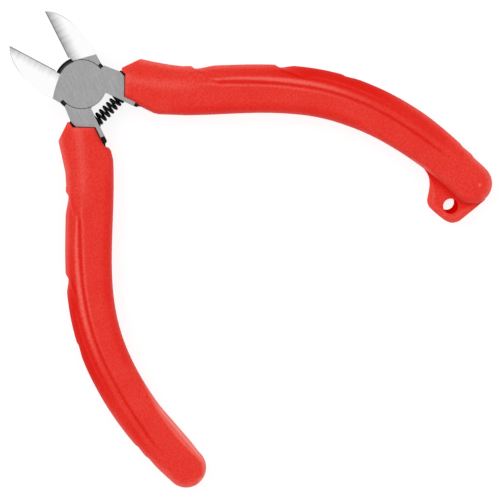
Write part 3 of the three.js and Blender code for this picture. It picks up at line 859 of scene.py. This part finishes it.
def dressHalf(half, splay, polish, mouth, hone):
    # satin ground steel, polished past the blade's seam, black skin on what the wheel doesn't reach
    centres, normals = faceTable(half)
    x, y, z = turned(centres, -hone["turn"]).T
    radius, up, slack = np.hypot(x, y), normals[:, 2], dress["slack"]
    across = np.clip((x + blade["throatIn"]) / (blade["throatIn"] - blade["width"]), 0, 1)
    polished = (y > seamAt(hone, x) + bowAt(hone, across)) & (x < dress["bladeSide"])
    polished &= np.abs(up) > dress["polishFacing"]
    sx, sy = turned(centres, -splay)[:, :2].T
    inGrip = (sx > shank["inner"] + shank["stripWidth"]) & (sy < mouthLine(sx, mouth) + slack)
    inGrip &= sy < dress["gripTop"]
    flare = (sx > shank["outerEnd"] + hone["swell"] + slack) & (sy < -shank["flareTop"] + dress["flareUp"])
    stripTail = sy < -shank["stripEnd"] + slack
    off = np.abs(z - middle)
    inside = off < middle - dress["faceSkin"]
    inside &= (np.abs(up) < dress["wallFacing"]) | (off < middle - dress["deepSkin"])
    throat = inside & (radius < rearRadius + dress["throatOut"])
    throat &= radius > lap["frontRadius"] - dress["throatIn"]
    throat |= (np.abs(z - middle + lap["gap"] / 2) < lap["rimStep"] / 2) & (up > dress["flatFacing"])
    throat &= turned(centres, halfOpen)[:, 1] > dress["throatLow"]
    seatHole = inside & (np.hypot(sy + seat["drop"], z - middle) < seat["radius"] + slack)
    seatHole &= (sx > shank["inner"] - slack) & (sx < dress["seatEnd"])
    black = inGrip | flare | stripTail | throat | seatHole
    half.data.materials.clear()
    for finish in (groundSteel, polish, blackSkin):
        half.data.materials.append(finish)
    half.data.polygons.foreach_set("material_index", np.where(black, 2, polished).astype(np.int32))


# each half's own grinding: the hone's hollow, where the polish starts, the root's edge at its foot and top,
# the blade's turn off the middle line, how far the shank's shoulder lies below its place in degrees, the
# shank's extra width and the length of the strip's tail
frontHone = {"drop": 0.06, "width": 1.2, "bow": 0.2, "seam": 5.33, "throat": (0.15, 0.26), "turn": bladeTurn,
             "shoulder": 0.0, "swell": 0.3, "tail": 0.35}
rearHone = {"drop": 0.12, "width": 2.2, "bow": 0.0, "seam": 5.66, "throat": (0.75, 0.34), "turn": -bladeTurn,
            "shoulder": 4.0, "swell": 0.0, "tail": 1.0}
steelShading = {"sharp": 28, "flatOver": 0.6}  # degrees and square millimetres

frontHalf = steelHalf("front_half_steel", frontLap, rightSplay, frontHone, rightMouth)
dressHalf(frontHalf, rightSplay, leftPolish, rightMouth, frontHone)
settle(frontHalf, "front_half_steel", 1, halfOpen, **steelShading)
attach(frontHalf, "front")
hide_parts("front_half")

rearHalf = steelHalf("rear_half_steel", rearLap, 0.0, rearHone, leftMouth)
dressHalf(rearHalf, 0.0, rightPolish, leftMouth, rearHone)
settle(rearHalf, "rear_half_steel", -1, halfOpen, **steelShading)
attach(rearHalf, "rear")
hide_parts("rear_half")
print("steel halves:", len(frontHalf.data.polygons), "and", len(rearHalf.data.polygons), "faces")

# Rivet: flush with the back, its front end under the front lap's skin
rivetShape = {"radius": 2.2, "flare": 0.4, "flareDepth": 0.5, "edgeIn": 0.08, "edgeUp": 0.06,
              "topGap": 0.05}
flareRadius = rivetShape["radius"] + rivetShape["flare"]
rivet = lathe("pivot_rivet_steel", [
    (flareRadius - rivetShape["edgeIn"], 0), (flareRadius, rivetShape["edgeUp"]),
    (rivetShape["radius"], rivetShape["flareDepth"]),
    (rivetShape["radius"], headTop - lap["skin"] - rivetShape["topGap"])])
rivet.data.materials.append(groundSteel)
settle(rivet, "pivot_rivet_steel", 1, 0, steelShading["sharp"])
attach(rivet, "rear")
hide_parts("pivot_rivet")

# Spring: closed coils at each end, the first turn's start in turns, the curve's pull as a share
spring = {"outer": 3.0, "wire": 0.6, "coils": 9.6, "entry": 1.2, "closedCoils": 2.0, "closedPitch": 0.6,
          "startTurn": 0.35, "pull": 0.12, "curveSteps": 400, "stepsPerCoil": 40, "sides": 14, "sharp": 60}


def seatPlace(depth, splay, side):
    # a point on a seat's axis, so deep in the shank, on the open tool
    x, y = turned([[shank["inner"] + depth, -seat["drop"]]], splay + halfOpen)[0]
    return np.array([side * x, y, middle])


def springRows(left, right, leftFace, rightFace):
    # a circle of wire wound round a curve that leaves each seat square to its face, its end coils closed
    ends = [left - leftFace * spring["entry"] / 2, right - rightFace * spring["entry"] / 2]
    pull = np.linalg.norm(ends[1] - ends[0]) * spring["pull"]
    curve = [ends[0], ends[0] + leftFace * pull, ends[1] + rightFace * pull, ends[1]]
    line = bezier(curve, np.linspace(0, 1, spring["curveSteps"]))
    run = runOf(line)
    wire, length = spring["wire"], run[-1]
    coils, closed = spring["coils"], spring["closedCoils"]
    turn = np.linspace(0, coils, int(coils * spring["stepsPerCoil"]))
    first, last = wire / 2, wire / 2 + closed * spring["closedPitch"]
    places = [first, last, length - last, length - first]
    advance = np.interp(turn, [0, closed, coils - closed, coils], places)
    ahead = readAt(advance, run, np.gradient(line, run, axis=0))
    across = np.stack([-ahead[:, 1], ahead[:, 0], 0 * turn], -1)
    angle = 2 * np.pi * (turn + spring["startTurn"])[:, None]
    outward = across * np.cos(angle) + np.array([0, 0, 1.0]) * np.sin(angle)
    path = readAt(advance, run, line) + (spring["outer"] - wire) / 2 * outward
    tangent = unit(np.gradient(path, axis=0))
    outward = unit(outward - tangent * (outward * tangent).sum(1, keepdims=True))
    sideways = np.cross(tangent, outward)
    ring = np.linspace(0, 2 * np.pi, spring["sides"], endpoint=False)[None, :, None]
    return path[:, None] + wire / 2 * (np.cos(ring) * outward[:, None] + np.sin(ring) * sideways[:, None])


leftSeat = seatPlace(spring["entry"] / 2, 0, -1)
rightSeat = seatPlace(spring["entry"] / 2, rightSplay, 1)
# the way out of each seat's face
leftFace = np.append(turned([[-1.0, 0]], halfOpen)[0] * (-1, 1), 0)
rightFace = np.append(turned([[-1.0, 0]], rightSplay + halfOpen)[0], 0)
coil = loft("return_spring_wire", springRows(leftSeat, rightSeat, leftFace, rightFace))
coil.data.materials.append(blackWire)
settle(coil, "return_spring_wire", 1, 0, spring["sharp"])
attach(coil, "rear")
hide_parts("return_spring")
closedSeat = turned([rightSeat], -2 * halfOpen)[0]
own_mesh(coil)

# Grips

# both sleeves: crown, rounded edge, lip at the mouth, raised streak and the moulding gate's mark; last the
# rows and columns of their grid. A tone over 0 is paler and one under 0 is deeper; most tones are painted
# highlight and shade
sleeve = {"thickness": 9.2, "leastHeight": 0.3, "crown": 0.22, "crownHalf": 4, "edgeAcross": 1.1,
          "edgeDown": 2.6, "lipAcross": 0.35, "lipDown": 0.3, "lipTone": 0.35, "lipToneWidth": 0.7,
          "streakRise": 0.3, "streakWidth": 1.4, "streakGoes": (4, 9), "streakTone": 0.55,
          "streakToneShare": 0.8, "gateRise": 0.12, "gateWidth": 0.28, "gateTone": 2.0, "cavityGap": 0.12,
          "sharp": 40, "columns": 81, "mouthRows": 70, "mouthRun": 14, "patchEnd": 6.6, "handleRows": 300,
          "endRows": 40}
# each sleeve: plan points of its mouth, first edges and streak, which is raised and carries a painted
# highlight;
# (station, value) pairs of its swell and crease; station, depth, run-in and run-out of each finger stop;
# width, start, widest and end of the inner edge's bevel
leftSleeve = {
    "mouth": leftMouth + [(6.25, -6.45), (6.5, -6.17), (10.35, -9.1)],
    "stops": [(7.5, 0.6, 1.2, 4.6), (25.6, 0.55, 1.3, 3.2), (39.9, 0.2, 0.8, 3.0), (64.5, 0.15, 0.8, 2.2),
              (67.8, 0.15, 0.8, 3.0)],
    "outer": [(10.35, -9.1), (11.05, -12), (12.05, -16), (13.3, -19)],
    "inner": [(1.55, -10.1), (1.52, -14.7), (0.85, -15.4), (0.75, -16.2), (1.22, -18.2), (2.1, -20.2)],
    "outerSwell": [(0, 0.1), (30, 0.1), (50, 0.15), (62, 0.42), (70, 0.42), (76, 0.3)],
    "innerSwell": [(0, 0.0), (30, 0.12), (48, 0.18), (56, 0.12), (61, 0.0), (66.5, 0.14), (71.5, -0.02),
                   (73.5, -0.2), (76, -0.58)],
    "crease": [(7.5, 0.0), (9.5, 1.8), (12.5, 3.15), (18, 3.4), (24, 3.58), (33, 3.9), (42, 4.15), (51, 4.3),
               (57, 4.12), (63, 3.8), (68, 3.1)],
    "streak": [(5.4, -9.0), (6.6, -13), (8.6, -18), (10.6, -22), (12.3, -25.7)],
    "bevel": (1.7, 50, 70, 86), "endExtra": 0.0, "gate": None}
rightSleeve = {
    "mouth": rightMouth + [(6.5, -6.8), (7.15, -6.6), (10.6, -9.4), (10.85, -9.8)],
    "stops": [(8.0, 0.6, 1.1, 4.8), (26.4, 0.55, 1.3, 3.2), (40.5, 0.2, 0.8, 3.0), (69.0, 0.15, 0.8, 2.4),
              (72.4, 0.15, 0.8, 3.0)],
    "outer": [(10.85, -9.8), (11.4, -12.3), (12.4, -16), (13.4, -19)],
    "inner": [(1.3, -10.0), (1.12, -14), (1.05, -17.2), (1.3, -18.4), (2.07, -20.2)],
    "outerSwell": [(0, 0.2), (12, 0.12), (30, 0.08), (45, 0.35), (60, 0.85), (76, 0.8)],
    "innerSwell": [(0, 0.1), (12, 0.4), (30, 0.6), (45, 0.45), (58, -0.08), (66, -0.5), (74, -0.85)],
    "crease": [(7.9, 0.0), (9.8, 2.0), (12.5, 3.75), (18, 3.95), (24, 4.15), (33, 4.45), (42, 4.62),
               (51, 4.75), (60, 4.85), (66, 4.5), (71, 3.9)],
    "streak": [(5.4, -9.0), (6.4, -13), (8.2, -18), (9.9, -22), (11.9, -25.9)],
    "bevel": (0.5, 60, 67, 73), "endExtra": 1.1, "gate": (17.43, -90.1)}


def stopCut(station, stopList):
    # how far the outer edge steps in just past each finger stop, easing out again further on
    cut = np.zeros_like(station)
    for at, depth, runIn, runOut in stopList:
        past = station - at
        cut = np.maximum(cut, depth * ramp(past, 0, runIn) * (1 - ramp(past, runIn, runOut)))
    return cut


def sleevePlan(shape):
    # plan of the sleeve as rows from the mouth to the round end, each running from inner to outer edge
    w = eased(sleeve["columns"])[None, :, None]
    station = np.linspace(sleeve["patchEnd"], handleLength + shape["endExtra"], sleeve["handleRows"])
    point, normal, tangent = handleAt(station)
    plain = handleHalf(station) + knots(station, shape["outerSwell"])
    outer = plain - stopCut(station, shape["stops"])
    inner = handleHalf(station) + knots(station, shape["innerSwell"])
    offset = -inner[:, None, None] + w * (inner + outer)[:, None, None]
    body = point[:, None] + normal[:, None] * offset
    # round end: rows move ahead by the sine of an angle and draw together by its cosine
    swing = np.linspace(0, np.pi / 2, sleeve["endRows"])[1:, None, None]
    endHalf, endShift = (inner[-1] + outer[-1]) / 2, (outer[-1] - inner[-1]) / 2
    end = (point[-1] + normal[-1] * (endShift + (offset[-1] - endShift) * np.cos(swing))
           + tangent[-1] * endHalf * np.sin(swing))
    # mouth: a patch stretched between the mouth's line, the first handle row and the two edges
    s = (1 - np.cos(np.linspace(0, np.pi / 2, sleeve["mouthRows"])))[:-1, None, None]
    mouth = along(shape["mouth"], w[0, :, 0])[None]
    first = body[:1]
    innerEdge = along(shape["inner"] + [tuple(first[0, 0])], s[:, 0, 0])[:, None]
    outerEdge = along(shape["outer"] + [tuple(first[0, -1])], s[:, 0, 0])[:, None]
    mouthCorners = (1 - w) * mouth[:, :1] + w * mouth[:, -1:]
    firstCorners = (1 - w) * first[:, :1] + w * first[:, -1:]
    corners = (1 - s) * mouthCorners + s * firstCorners
    patch = (1 - s) * mouth + s * first + (1 - w) * innerEdge + w * outerEdge - corners
    stations = np.concatenate([sleeve["patchEnd"] - sleeve["mouthRun"] * (1 - s[:, 0, 0]), station,
                               station[-1] + endHalf * np.sin(swing[:, 0, 0])])
    plainEdge = np.concatenate([patch[:, -1], point + normal * plain[:, None], end[:, -1]])
    return np.concatenate([patch, body, end]), stations, plainEdge


# marks beside the crease: (station, run) pairs say where a mark comes, goes or changes along the handle, and
# a pair of sizes is the first size and what such a change adds to it
creaseLook = {
    "width": (0.3, 0.14), "depth": 0.4, "full": 12.5, "opens": (12, 3), "thins": (14, 16), "ends": (64, 8),
    "ridgeOff": (0.5, 0.36), "ridgeMoves": (12, 8), "ridgeWidth": (0.24, 0.26), "ridgeWidens": (14, 18),
    "ridgeComes": (11.8, 2.5), "ridgeGoes": (31, 19),
    "band": 1.25, "leastFlank": 0.4, "flankDepth": 0.95, "flankCurve": 1.2, "flankComes": (8.5, 4),
    "flankEase": 0.5, "flankEases": (46, 10), "flankGoes": (62, 10),
    "shadeIn": 0.2, "shadeSoft": 0.8, "shadeFirst": 0.3, "shadeGrows": (18, 16), "shadeEase": 0.4,
    "shadeEases": (46, 12), "shadeGoes": (64, 9),
    "lineOff": (0.45, 0.22), "lineWidth": 0.26, "lineComes": (8, 6), "lineGoes": (26, 26),
    "foldOff": 2.4, "foldWidth": 0.22, "foldComes": (33, 3), "foldGoes": (47, 9),
    "rimOff": 0.35, "rimWidth": 0.7, "rimGoes": (25, 9), "rimReturns": (46, 14),
    "deepOff": 1.2, "deepWidth": 0.9, "deepComes": (1, 6), "deepGoes": (46, 6)}
# tones of the marks: painted highlight on the ridge, line, fold and rim, painted shade in the groove and
# flank, deeper inside
creaseTones = {"ridge": 1.4, "groove": -0.62, "shade": -0.8, "line": 0.75, "fold": 0.4, "rim": 0.85,
               "deep": -0.45}


def creaseMarks(shape, station, fromOuter, fromInner):
    # drop and tone of a crease beside the outer edge, painted highlight on the ridge, lines and rounded outer
    # rim, painted shade in the groove and on the flank, a deeper inner side: bells of the distance across,
    # times ramps along the sleeve
    look = creaseLook

    def comes(mark):
        # 0 up to a mark's station and 1 from its run on
        return ramp(station[:, None], *look[mark])

    def goes(mark):
        # the other way round
        return 1 - comes(mark)

    def changed(size, change):
        # a first size with a share of its change
        return look[size][0] + look[size][1] * change

    crease = knots(station, shape["crease"])[:, None]
    lineBase = np.maximum(crease, np.interp(look["full"], *np.array(shape["crease"]).T))
    reach = np.maximum(crease - look["band"], look["leastFlank"])
    flank = np.clip((reach - fromOuter) / reach, 0, 1) ** look["flankCurve"] * comes("flankComes")
    flank = flank * (1 - look["flankEase"] * comes("flankEases")) * goes("flankGoes")
    groove = bell(fromOuter - crease, changed("width", goes("thins"))) * comes("opens") * goes("ends")
    ridge = bell(fromOuter - crease + changed("ridgeOff", comes("ridgeMoves")),
                 changed("ridgeWidth", comes("ridgeWidens")))
    shade = smooth((reach + look["shadeIn"] - fromOuter) / look["shadeSoft"]) * comes("flankComes")
    shade = shade * (look["shadeFirst"] + (1 - look["shadeFirst"]) * comes("shadeGrows"))
    line = bell(fromOuter - lineBase - changed("lineOff", comes("opens")), look["lineWidth"])
    fold = bell(fromOuter - crease + look["foldOff"], look["foldWidth"])
    rim = bell(fromOuter - look["rimOff"], look["rimWidth"])
    deep = bell(fromInner - look["deepOff"], look["deepWidth"])
    marks = {"ridge": ridge * comes("ridgeComes") * goes("ridgeGoes"), "groove": groove,
             "shade": shade * (1 - look["shadeEase"] * comes("shadeEases")) * goes("shadeGoes"),
             "line": line * comes("lineComes") * goes("lineGoes"),
             "fold": fold * comes("foldComes") * goes("foldGoes"),
             "rim": rim * (goes("rimGoes") + comes("rimReturns")),
             "deep": deep * comes("deepComes") * goes("deepGoes")}
    return look["depth"] * groove + look["flankDepth"] * flank, sum(creaseTones[k] * marks[k] for k in marks)


bevelLook = {"slope": 0.5, "shownFrom": 0.3, "tone": 1.35, "toneSoft": 0.7, "toneAhead": 0.4, "pale": 0.85,
             "paleOff": 0.45, "paleWidth": 0.35, "paleFrom": 0.3, "dark": 0.35, "darkShare": 0.6,
             "darkWidth": 0.16}


def bevelMarks(shape, station, fromInner):
    # drop and tone of the inner edge's bevel: its width swells and shrinks along the handle, it slopes evenly
    # down to the edge, and it bears a painted highlight with a pale strip of painted highlight and a dark
    # strip of painted shade along it
    look, at = bevelLook, station[:, None]
    width, begins, widest, ends = shape["bevel"]
    bevel = width * ramp(at, begins, widest - begins) * (1 - ramp(at, widest, ends - widest))
    body = look["tone"] * smooth((bevel - fromInner) / look["toneSoft"] + look["toneAhead"])
    pale = look["pale"] * bell(fromInner - look["paleOff"], look["paleWidth"])
    pale = pale * smooth(bevel - look["paleFrom"])
    dark = look["dark"] * bell(fromInner - look["darkShare"] * bevel, look["darkWidth"])
    return (look["slope"] * np.maximum(bevel - fromInner, 0),
            (body + pale - dark) * smooth(bevel / look["shownFrom"]))


# lines: tone, distance outside the scale's edge and width of the painted shade line and the painted highlight
# line along it
scaleLook = {"count": 2, "start": 0.6, "rise": 0.5, "run": 9.0, "slope": 0.32, "offset": 0.6, "depth": 0.4,
             "soft": 0.5, "ease": 0.6, "easeRun": 2.0, "lines": [(-0.35, 0.3, 0.4), (0.45, -0.25, 0.25)]}


def scaleMarks(shape, station, fromOuter):
    # drop and tone of the scales past the first finger stops: steps whose edges lean away from the outer edge
    look, at = scaleLook, station[:, None]
    drop, tone = np.zeros_like(fromOuter), np.zeros_like(fromOuter)
    for start, _, runIn, _ in shape["stops"][:look["count"]]:
        past = at - start - runIn * look["start"]
        live = ramp(past, 0, look["rise"]) * (1 - ramp(past, 1, look["run"] - 1))
        within = past * look["slope"] + look["offset"] - fromOuter
        step = smooth(within / look["soft"] + 0.5) * (1 - look["ease"] * ramp(within, 0, look["easeRun"]))
        drop += look["depth"] * live * step
        # a dark line of painted shade and a pale line of painted highlight along each step's edge
        for strength, off, width in look["lines"]:
            tone += strength * live * bell(within + off, width)
    return drop, tone


def sleeveSolid(name, shape):
    # the plan raised to both faces: half the thickness less the marks, the crown, the rounded edge and lip
    plan, station, plainEdge = sleevePlan(shape)
    fromInner, fromOuter = distanceTo(plan, plan[:, 0]), distanceTo(plan, plan[:, -1])
    fromPlain, fromMouth = distanceTo(plan, plainEdge), distanceTo(plan, plan[0])
    fromEdge = np.minimum(fromInner, fromOuter)
    streak = distanceTo(plan, np.array(shape["streak"]))
    fade = 1 - ramp(station[:, None], *sleeve["streakGoes"])
    half = np.maximum(handleHalf(station), sleeve["crownHalf"])[:, None]
    marks = [creaseMarks(shape, station, fromPlain, fromInner), bevelMarks(shape, station, fromInner),
             scaleMarks(shape, station, fromPlain)]
    drop = sum(mark[0] for mark in marks) + sleeve["crown"] * np.clip(1 - fromEdge / half, 0, 1) ** 2
    drop += roundDrop(fromEdge, sleeve["edgeAcross"], sleeve["edgeDown"])
    drop += roundDrop(fromMouth, sleeve["lipAcross"], sleeve["lipDown"])
    drop += sleeve["streakRise"] * (1 - bell(streak, sleeve["streakWidth"])) * fade
    # tone: the marks' painted highlight and shade, with painted highlight on the mouth's lip and along the
    # raised streak
    tone = sum(mark[1] for mark in marks) + sleeve["lipTone"] * bell(fromMouth, sleeve["lipToneWidth"])
    tone += sleeve["streakTone"] * bell(streak, sleeve["streakToneShare"] * sleeve["streakWidth"]) * fade
    if shape["gate"]:
        gate = bell(np.linalg.norm(plan - np.array(shape["gate"]), axis=-1), sleeve["gateWidth"])
        drop -= sleeve["gateRise"] * gate
        tone += sleeve["gateTone"] * gate
    height = np.maximum(sleeve["thickness"] / 2 - drop, sleeve["leastHeight"])
    rows = np.concatenate([raised(plan, middle + height), raised(plan, middle - height)[:, ::-1]], 1)
    count, columns = rows.shape[:2]
    j = np.arange(sleeve["columns"] - 1)
    mouthFaces = np.stack([j, j + 1, columns - 2 - j, columns - 1 - j], -1).tolist()
    tones = np.concatenate([tone, tone[:, ::-1]], 1)
    return closedMesh(name, rows, ringFaces(count, columns) + mouthFaces, tones)


# tab: its edge runs from the grip round the ear to the grip's end, and its painted shade lies along its joint
# with the grip; rimTone and dishTone are painted highlights, each a tone with its distance from the rim and
# its width
tab = {"thickness": 3.6, "hole": (10.7, -85.7), "holeRadius": 1.68, "holeLean": 0.78, "holeSteps": 120,
       "lip": 0.3, "rounding": 0.9, "dip": 0.3, "dipSlope": 2.5, "rootShare": 0.86, "outlineSteps": 720,
       "blur": 9, "thin": 3, "rimRings": 8, "dishRings": 21, "dishShare": 0.92, "rimTone": (0.4, 0.3, 0.5),
       "dishTone": (0.5, 1.3, 0.35), "shadeTone": 0.9, "shadeWidth": 2.6, "wallTone": -1.3, "wallRings": 9,
       "edge": [(15.9, -76.8), (14.9, -78.5), (14.0, -79.4), (12.8, -80.05), (11.5, -80.45), (10.45, -80.7),
                (9.4, -80.95), (8.4, -81.8), (7.85, -83.3), (7.4, -85.0), (7.05, -86.6), (7.15, -88.2),
                (8.15, -89.4), (11.98, -91.27), (15.4, -92.85)],
       "shade": [(15.7, -77.7), (12.9, -88.3), (14.2, -91.2), (16.5, -92.2)]}


def tabEar(name):
    # the hanging ear: rings of its outline shrunk towards the hole, which rise along a quarter circle at the
    # rim and dip smoothly inside it; painted highlights lie near the rim and painted shade along the grip
    centre, half, r = np.array(tab["hole"]), tab["thickness"] / 2, tab["rounding"]
    buried = [handle["line"][-1], tuple(handleAt(tab["rootShare"] * handleLength)[0])]
    loop = along(tab["edge"] + buried + tab["edge"][:1], np.linspace(0, 1, tab["outlineSteps"] + 1)[:-1])
    outline = np.mean([np.roll(loop, k, 0) for k in range(-tab["blur"], tab["blur"] + 1)], 0)[::tab["thin"]]
    reach = np.linalg.norm(outline - centre, axis=1)[None]
    turn = np.linspace(0, np.pi / 2, tab["rimRings"])[:, None]
    share = np.linspace(0, tab["dishShare"], tab["dishRings"] + 1)[1:, None]
    depth = np.concatenate([r * (1 - np.cos(turn)) + 0 * reach, r + share * (reach - r)])
    dish = half - tab["dip"] * smooth(share * tab["dipSlope"])
    height = np.concatenate([half - r + r * np.sin(turn), dish]) + 0 * reach
    rings = centre + (outline - centre) * (1 - depth / reach)[..., None]
    front = raised(rings, middle + height)
    lines = (tab["rimTone"], tab["dishTone"])
    tone = sum(strength * bell(depth - off, width) for strength, off, width in lines)
    tone -= tab["shadeTone"] * (1 - smooth(distanceTo(rings, np.array(tab["shade"])) / tab["shadeWidth"]))
    back = front * (1, 1, -1) + (0, 0, 2 * middle)
    return loft(name, np.concatenate([back[::-1], front]), np.concatenate([tone[::-1], tone]))


def tabBore(name):
    # the ear's hole: a leaning cylinder that opens at both faces in a small round lip, its wall darkened by
    # painted shade
    half, e, q = tab["thickness"] / 2, tab["lip"], tab["holeRadius"]
    low, high = middle - half, middle + half
    lean = -turned([[0, tab["holeLean"] / half]], -halfOpen - rightSplay)[0]
    lip = np.array([(2 * e, e), (e, 0), (roundMiddle * e, -roundMiddle * e)])
    wall = np.linspace((q, low + e), (q, high - e), tab["wallRings"])
    profile = np.concatenate([(q, low) + lip * (1, -1), wall, ((q, high) + lip)[::-1]])
    tone = np.where(profile[:, 0] > q, 0, tab["wallTone"])
    return lathe(name, profile, tab["hole"], tab["holeSteps"], lean, tone)


def gripPiece(name, shape, side, angle, body, node, withTab):
    # a sleeve, with the tab where it has one, hollowed for the tang
    made = sleeveSolid(name, shape)
    if withTab:
        combine(made, tabEar("hangingTab"), "UNION")
        combine(made, tabBore("tabBore"), "DIFFERENCE")
    gap, half = sleeve["cavityGap"], tang["thickness"] / 2
    low, high = middle - half - gap, middle + half + gap
    combine(made, plate("tangCavity", tangOutline(gap), low, high), "DIFFERENCE")
    made.data.materials.clear()
    made.data.materials.append(redVinyl)
    settle(made, name, side, angle, sleeve["sharp"])
    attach(made, body)
    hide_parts(node)
    return made


leftGrip = gripPiece("left_grip_sleeve", leftSleeve, -1, halfOpen, "rear", "left_grip", False)
rightGrip = gripPiece("right_grip_sleeve", rightSleeve, 1, halfOpen + rightSplay, "front", "right_grip", True)
print("grips:", len(leftGrip.data.polygons), "and", len(rightGrip.data.polygons), "faces")

# Floor, light and camera

# in metres: the floor's glow with what the camera adds to it, and each lamp's place with its watts
studio = {"floorSize": 3.0, "floorGrey": 0.24, "floorRoughness": 0.9, "floorGlow": (0.7, 0.13),
          "world": 0.68, "aim": (0, -0.035, 0), "lampSize": 1.2, "keyLamp": ((-0.08, 0.72, 1.5), 8.3),
          "fillLamp": ((0.8, -0.9, 1.3), 3.2)}
# the photo's scale, size and pivot, its turn in degrees, and a long lens with its sensor in millimetres
photo = {"millimetresPerPixel": 0.224, "pixels": 500, "pivotPixel": (82.0, 84.5), "turn": 43.8, "lens": 500,
         "sensor": 36}


def seenBy(tree, *kinds):
    # 1 for rays of the given kinds
    rays = tree.nodes.new("ShaderNodeLightPath").outputs
    seen = rays[kinds[0]]
    for kind in kinds[1:]:
        seen = mathNode(tree, "MAXIMUM", seen, rays[kind])
    return seen


def makeFloor():
    # a plain floor that camera and glossy rays see lifted to white, and that keeps the object's shadow
    size, z = studio["floorSize"], cadBox[0].z
    mesh = bpy.data.meshes.new("floor")
    corners = [(-size, -size, z), (size, -size, z), (size, size, z), (-size, size, z)]
    mesh.from_pydata(corners, [], [(0, 1, 2, 3)])
    floor = bpy.data.objects.new("floor", mesh)
    bpy.context.scene.collection.objects.link(floor)
    made, tree, shader, _ = newMaterial("paleFloor")
    feed(tree, shader.inputs["Base Color"], (studio["floorGrey"],) * 3)
    shader.inputs["Roughness"].default_value = studio["floorRoughness"]
    shader.inputs["Specular IOR Level"].default_value = 0.0
    feed(tree, shader.inputs["Emission Color"], (1, 1, 1))
    glow, lift = studio["floorGlow"]
    strength = mathNode(tree, "MULTIPLY_ADD", seenBy(tree, "Is Camera Ray", "Is Glossy Ray"), lift, glow)
    feed(tree, shader.inputs["Emission Strength"], strength)
    mesh.materials.append(made)


def makeWorld(level):
    # white to the rays that see it and at a lower level as light
    world = bpy.data.worlds.new("studio")
    bpy.context.scene.world = world
    world.use_nodes = True
    tree = world.node_tree
    back = tree.nodes["Background"]
    feed(tree, back.inputs["Color"], (1, 1, 1))
    seen = seenBy(tree, "Is Camera Ray", "Is Glossy Ray", "Is Transmission Ray")
    feed(tree, back.inputs["Strength"], mathNode(tree, "MULTIPLY_ADD", seen, 1 - level, level))


def makeLamp(name):
    # a round lamp turned to the aim, kept out of reflections
    place, watts = studio[name]
    data = bpy.data.lights.new(name, "AREA")
    data.shape, data.size, data.energy = "DISK", studio["lampSize"], watts
    lamp = bpy.data.objects.new(name, data)
    bpy.context.scene.collection.objects.link(lamp)
    lamp.location = place
    lamp.visible_glossy = False
    lamp.rotation_mode = "QUATERNION"
    lamp.rotation_quaternion = (Vector(studio["aim"]) - lamp.location).to_track_quat("-Z", "Y")


def makeCamera():
    # straight above; the frame's middle and size come from the pivot's pixel and the millimetres in a pixel
    turn = math.radians(photo["turn"])
    right, up = np.array([math.cos(turn), -math.sin(turn)]), np.array([math.sin(turn), math.cos(turn)])
    px, py = photo["pivotPixel"]
    half = photo["pixels"] / 2
    x, y = (right * (half - px) - up * (half - py)) * photo["millimetresPerPixel"] * mm
    width = photo["pixels"] * photo["millimetresPerPixel"] * mm
    data = bpy.data.cameras.new("camera")
    data.lens, data.sensor_width = photo["lens"], photo["sensor"]
    data.clip_start, data.clip_end = 0.01, 20
    camera = bpy.data.objects.new("camera", data)
    bpy.context.scene.collection.objects.link(camera)
    camera.location = (x, y, middle * mm + width * photo["lens"] / photo["sensor"])
    camera.rotation_euler = (0, 0, -turn)
    bpy.context.scene.camera = camera


makeFloor()
makeWorld(studio["world"])
makeLamp("keyLamp")
makeLamp("fillLamp")
makeCamera()
bpy.context.scene.view_settings.view_transform = "Standard"

print("floor, light and camera placed")
